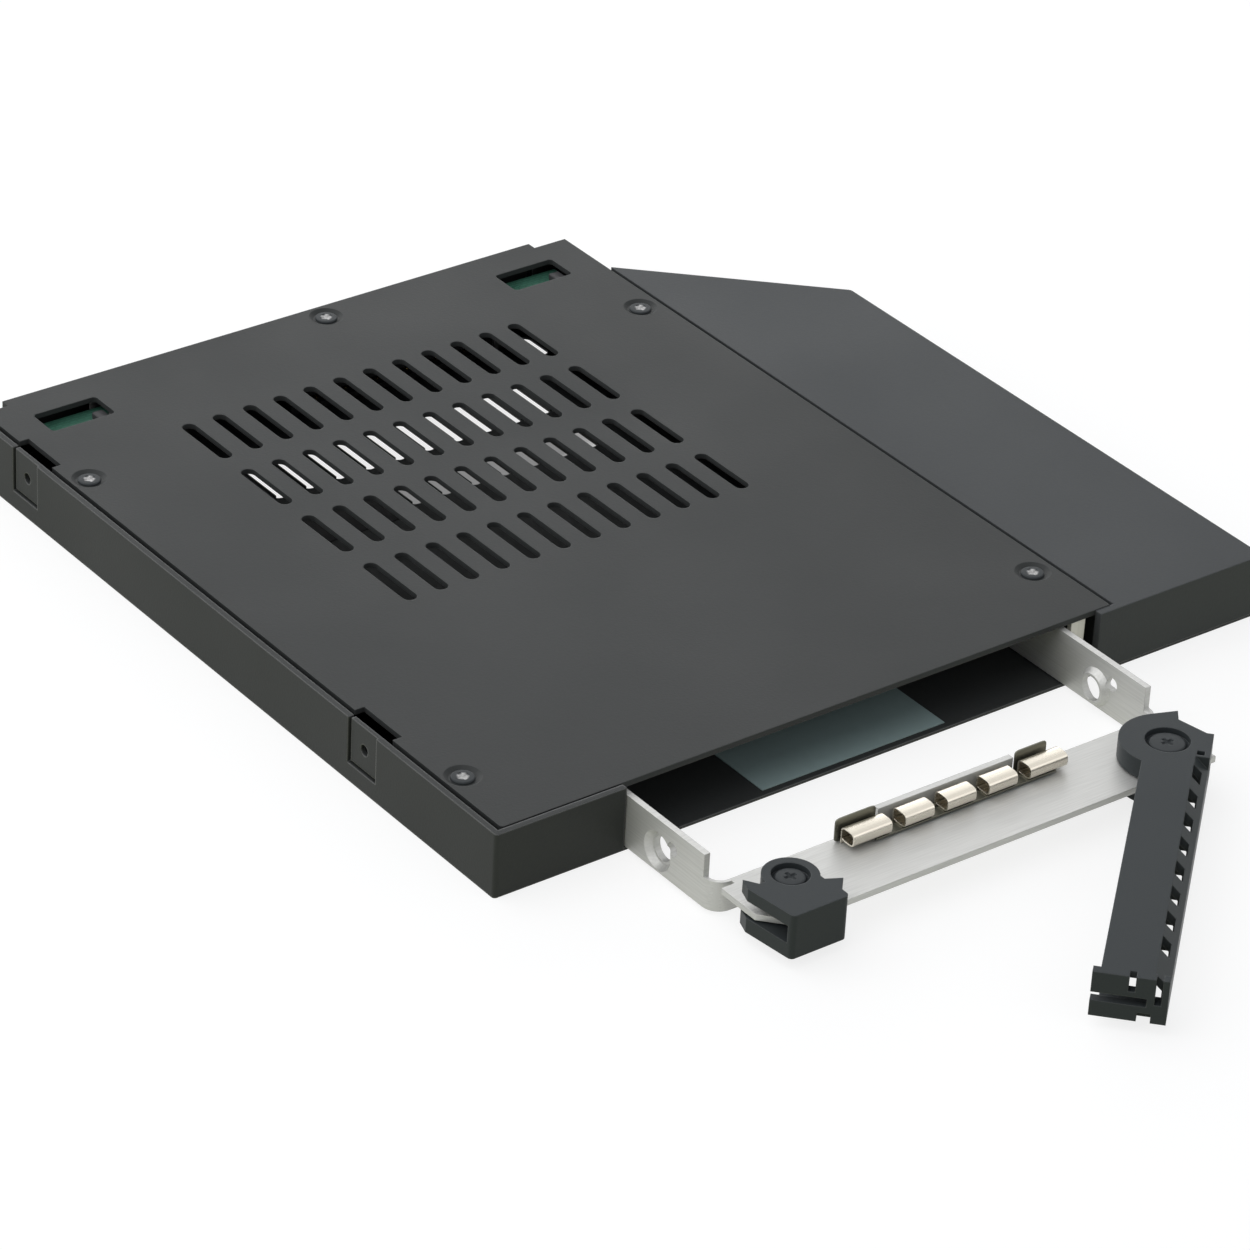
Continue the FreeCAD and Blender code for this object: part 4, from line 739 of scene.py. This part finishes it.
def lay_floor(scene, stage):
    """White floor whose glow is for the eye alone, so that the object gets only the floor's bounce."""
    mesh = bpy.data.meshes.new("floor")
    square = np.array([[-1, -1, 0], [1, -1, 0], [1, 1, 0], [-1, 1, 0]])
    corners = square * stage.floor_size - [0.0, 0.0, FLOOR_DROP * MM]
    mesh.from_pydata(corners.tolist(), [], [(0, 1, 2, 3)])
    floor = bpy.data.objects.new("floor", mesh)
    material, tree, shader = new_material("floor_paper")
    seen = seen_directly(tree)
    tone = mix(tree, seen, opaque(stage.floor_bounce), opaque(stage.floor_tone))
    spot = shaded_spot(tree, *SHADE)
    left = spread(tree, spot, stage.floor_glow, stage.floor_glow * stage.floor_shade, start=0.0, end=0.3)
    glow = combine(tree, "MULTIPLY", seen, left)
    feed(tree, shader, Base_Color=tone, Roughness=0.9, Specular_IOR_Level=0.0)
    feed(tree, shader, Emission_Color=WHITE, Emission_Strength=glow.outputs[0])
    mesh.materials.append(material)
    scene.collection.objects.link(floor)


def light_sky(scene, stage):
    world = bpy.data.worlds.new("studio")
    world.use_nodes = True
    tree = world.node_tree
    light = mix(tree, seen_directly(tree), opaque(stage.sky), WHITE)
    feed(tree, tree.nodes["Background"], Color=light)
    scene.world = world


def aimed(place, aim):
    """Matrix of something that stands at one point and looks at another."""
    place = Vector(place)
    look = (Vector(aim) - place).to_track_quat("-Z", "Y").to_matrix().to_4x4()
    return Matrix.Translation(place) @ look


def hang_lamp(scene, name, place, aim, size, power):
    lamp = bpy.data.lights.new(name, "AREA")
    lamp.shape = "RECTANGLE"
    lamp.size, lamp.size_y = size
    lamp.energy = power
    lamp_object = bpy.data.objects.new(name, lamp)
    lamp_object.matrix_world = aimed(place, aim)
    scene.collection.objects.link(lamp_object)


def set_camera(scene, stage):
    camera = bpy.data.cameras.new("camera")
    camera.lens, camera.sensor_width = stage.camera_lens, SENSOR
    camera.clip_start, camera.clip_end = CLIP
    eye = bpy.data.objects.new("camera", camera)
    roll = Matrix.Rotation(stage.camera_roll, 4, "Z")
    eye.matrix_world = aimed(stage.camera_place, stage.camera_aim) @ roll
    scene.collection.objects.link(eye)
    scene.camera = eye


# Operators

class CADDY_OT_dress(bpy.types.Operator):
    """Give every CAD piece its finish by its material slot"""

    bl_idname = "caddy.dress"
    bl_label = "Dress the CAD pieces"

    def execute(self, context):
        FINISHES.update(make_finishes(context.scene))
        for part in frame["record"]["subparts"]:
            mesh = NODES[part["node"]].data
            mesh.materials.clear()
            mesh.materials.append(FINISHES.get(part["node"], FINISHES[part["material_slot"]]))
        return {"FINISHED"}


class CADDY_OT_screws(bpy.types.Operator):
    """Make the cover's, board's and pivots' screws with cross recesses and threads"""

    bl_idname = "caddy.screws"
    bl_label = "Screws"

    def execute(self, context):
        sizes = context.scene.caddy_sizes
        deepest = 0.6
        thread = (sizes.thread_pitch / MM, sizes.thread_depth / MM)
        for node, places, seat, head, height, shank_length, body, slot, wear_and_highlight in SCREWS:
            depth = min(sizes.cross_depth / MM, height * deepest)
            cross = (sizes.cross_reach / MM, sizes.cross_width / MM, depth)
            made = [
                screw_surface(place, seat, head, height, SHANK, shank_length, cross, thread)
                for place in places
            ]
            grids = [grid for grid, rubbed in made]
            # Each screw's share of that disc: partly driver wear, partly a painted glint
            masks = [rubbed * wear_and_highlight for grid, rubbed in made]
            new_piece(f"{node}_made", grids, FINISHES[slot], body, node, masks)
        return {"FINISHED"}


class CADDY_OT_fingers(bpy.types.Operator):
    """Roll the contact strip's five fingers, and make its base and upright tabs"""

    bl_idname = "caddy.fingers"
    bl_label = "Contact fingers"

    def execute(self, context):
        sizes = context.scene.caddy_sizes
        sheet, hang = sizes.finger_sheet / MM, sizes.finger_hang / MM
        end, inner = sizes.end_finger / MM, sizes.inner_finger / MM
        low, high = in_mm(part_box("finger_strip"))
        left, right = low[0], high[0]
        underside = low[2] + sheet / 2.0

        widths = np.array([end, inner, inner, inner, end])
        gap = (right - left - widths.sum()) / (len(widths) - 1)
        starts = left + np.concatenate([[0.0], np.cumsum(widths + gap)[:-1]])
        half = np.array([FINGER_DEPTH - sheet, high[2] - low[2] - hang - sheet]) / 2.0
        centre = (low[1] + FINGER_DEPTH / 2.0, high[2] - sheet / 2.0 - half[1])
        back = centre[0] + half[0]
        leg = np.linspace((back, underside), (back, centre[1]), 8)[:-1]
        roll = np.concatenate([leg, rolled_path(centre, half, 0.0, CURL)])
        fingers = [ribbon(roll, sheet, start, start + width) for start, width in zip(starts, widths)]
        nickel = FINISHES["finger_nickel"]
        new_piece("contact_fingers", fingers, nickel, "tray", "finger_strip")

        base_y = np.linspace(high[1], low[1] + BASE_FRONT, 30)
        step = np.clip((high[1] - JOGGLE_START - base_y) / JOGGLE_RUN, 0.0, 1.0)
        base_z = underside + sizes.base_gap / MM * step ** 2 * (3.0 - 2.0 * step)
        path = np.stack([base_y, base_z], axis=1)
        base = ribbon(path, sheet, left + BASE_ENDS[0], right - BASE_ENDS[1])
        tab_y, tab_z = high[1] - sheet / 2.0 - 2.0 * HAIR, (low[2] + TAB_TOP) / 2.0
        tabs = []
        for start, stop in TAB_SPANS:
            middle, reach = (start + stop) / 2.0, ((stop - start) / 2.0, TAB_TOP - tab_z, sheet / 2.0)
            tabs.append(slab((middle, tab_y, tab_z), reach, BLOCK_POWER, TAB_EDGE, (0, 2, 1)))
        # Base and tabs take the darker nickel: painted shade
        new_piece("strip_base", [base, *tabs], FINISHES["strip_base"], "tray")
        return {"FINISHED"}


class CADDY_OT_spring(bpy.types.Operator):
    """Wind the latch's coil spring"""

    bl_idname = "caddy.spring"
    bl_label = "Latch spring"

    def execute(self, context):
        thick = context.scene.caddy_sizes.spring_wire / MM
        low, high = in_mm(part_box("latch_spring"))
        x, y = (low[:2] + high[:2]) / 2.0
        radius = (high[0] - low[0]) / 2.0 - thick
        pitch = (high[2] - low[2] - thick * 2.0) / SPRING_TURNS
        grid = coil(x, y, low[2] + thick, radius, thick, pitch, SPRING_TURNS)
        new_piece("latch_coil", [grid], FINISHES["spring_steel"], "tray", "latch_spring")
        return {"FINISHED"}


class CADDY_OT_contacts(bpy.types.Operator):
    """Bow the gold contacts of both connectors"""

    bl_idname = "caddy.contacts"
    bl_label = "Connector contacts"

    def execute(self, context):
        bow = context.scene.caddy_sizes.contact_bow / MM
        for node, counts, bridge, part_of_bow in CONTACT_ROWS:
            low, high = in_mm(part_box(node))
            steps = np.concatenate([np.arange(count) * CONTACT_PITCH for count in counts])
            steps[counts[0] :] += (counts[0] - 1) * CONTACT_PITCH + bridge
            level, thick = (low[2] + high[2]) / 2.0, high[2] - low[2]
            shape = (low[1], high[1], level, CONTACT_WIDTH, thick, bow * part_of_bow)
            grids = [bowed_contact(low[0] + CONTACT_WIDTH / 2.0 + step, *shape) for step in steps]
            new_piece(f"{node}_made", grids, FINISHES["contact_gold"], "housing", node)
        return {"FINISHED"}


class CADDY_OT_vents(bpy.types.Operator):
    """Turn up a lip along both sides of the floor vents, and tape the closed ones over"""

    bl_idname = "caddy.vents"
    bl_label = "Floor vents"

    def execute(self, context):
        sizes = context.scene.caddy_sizes
        thick, rise, tape = (value / MM for value in (sizes.lip_thick, sizes.lip_rise, sizes.tape_thick))
        level = (FLOOR_TOP + rise) / 2.0
        reach = (thick / 2.0, level - HAIR, LIP_POWER)
        aside = VENT_HALF - thick / 2.0 + HAIR
        lips = []
        for middle, vent_length, first in VENT_ROWS:
            straight = vent_length / 2.0 - VENT_HALF * LIP_SHORT
            columns = VENT_COLUMNS[first:]
            for x in np.concatenate([columns - aside, columns + aside]):
                front, rear = (x, middle - straight, level), (x, middle + straight, level)
                lips.append(bar(front, rear, (1.0, 0.0, 0.0), (0.0, 0.0, 1.0), reach))
        new_piece("vent_lips", lips, FINISHES["case_paint"], "housing")

        low, high = np.array(TAPE)
        place = (*(low + high) / 2.0, FLOOR_TOP + tape / 2.0)
        film = slab(place, (*(high - low) / 2.0, tape / 2.0), TAPE_POWER, tape * TAPE_EDGE)
        new_piece("floor_tape", [film], FINISHES["connector_black"], "housing")
        return {"FINISHED"}


class CADDY_OT_board_parts(bpy.types.Operator):
    """Set the small moulded parts on the rear board"""

    bl_idname = "caddy.board_parts"
    bl_label = "Board parts"

    def execute(self, context):
        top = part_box("backplane_pcb")[1].z / MM
        grids = []
        for x, y, width, depth, height in BOARD_PARTS:
            half = (width / 2.0, depth / 2.0, height / 2.0)
            edge = min(height, depth) * PART_EDGE
            grids.append(slab((x, y, top + height / 2.0), half, BLOCK_POWER, edge))
        new_piece("board_chips", grids, FINISHES["board_chip"], "housing")
        return {"FINISHED"}


class CADDY_OT_stage(bpy.types.Operator):
    """Set out the floor, the even light, the lamps and the camera"""

    bl_idname = "caddy.stage"
    bl_label = "Set the stage"

    def execute(self, context):
        scene, stage = context.scene, context.scene.caddy_stage
        lay_floor(scene, stage)
        light_sky(scene, stage)
        powers = (stage.key_power, stage.fill_power, stage.back_power)
        for (name, place, aim, size), power in zip(LAMPS, powers):
            hang_lamp(scene, name, place, aim, size, power)
        set_camera(scene, stage)
        scene.view_settings.view_transform = "Standard"
        return {"FINISHED"}


class CADDY_PT_panel(bpy.types.Panel):
    """Steps of the caddy's looks, in order"""

    bl_idname = "CADDY_PT_panel"
    bl_label = "Caddy"
    bl_space_type = "VIEW_3D"
    bl_region_type = "UI"
    bl_category = "Caddy"

    def draw(self, context):
        for operator in OPERATORS:
            self.layout.operator(operator.bl_idname)


GROUPS_OF_SETTINGS = {"caddy_colours": CaddyColours, "caddy_sizes": CaddySizes, "caddy_stage": CaddyStage}
OPERATORS = (
    CADDY_OT_dress, CADDY_OT_screws, CADDY_OT_fingers, CADDY_OT_spring, CADDY_OT_contacts, CADDY_OT_vents,
    CADDY_OT_board_parts, CADDY_OT_stage,
)
CLASSES = (*GROUPS_OF_SETTINGS.values(), *OPERATORS, CADDY_PT_panel)


def register():
    for item in CLASSES:
        bpy.utils.register_class(item)
    for name, settings in GROUPS_OF_SETTINGS.items():
        setattr(bpy.types.Scene, name, bpy.props.PointerProperty(type=settings))


def unregister():
    for name in GROUPS_OF_SETTINGS:
        delattr(bpy.types.Scene, name)
    for item in reversed(CLASSES):
        bpy.utils.unregister_class(item)


def main():
    register()
    bpy.ops.caddy.dress()
    bpy.ops.caddy.screws()
    bpy.ops.caddy.fingers()
    bpy.ops.caddy.spring()
    bpy.ops.caddy.contacts()
    bpy.ops.caddy.vents()
    bpy.ops.caddy.board_parts()
    bpy.ops.caddy.stage()


if __name__ == "__main__":
    main()
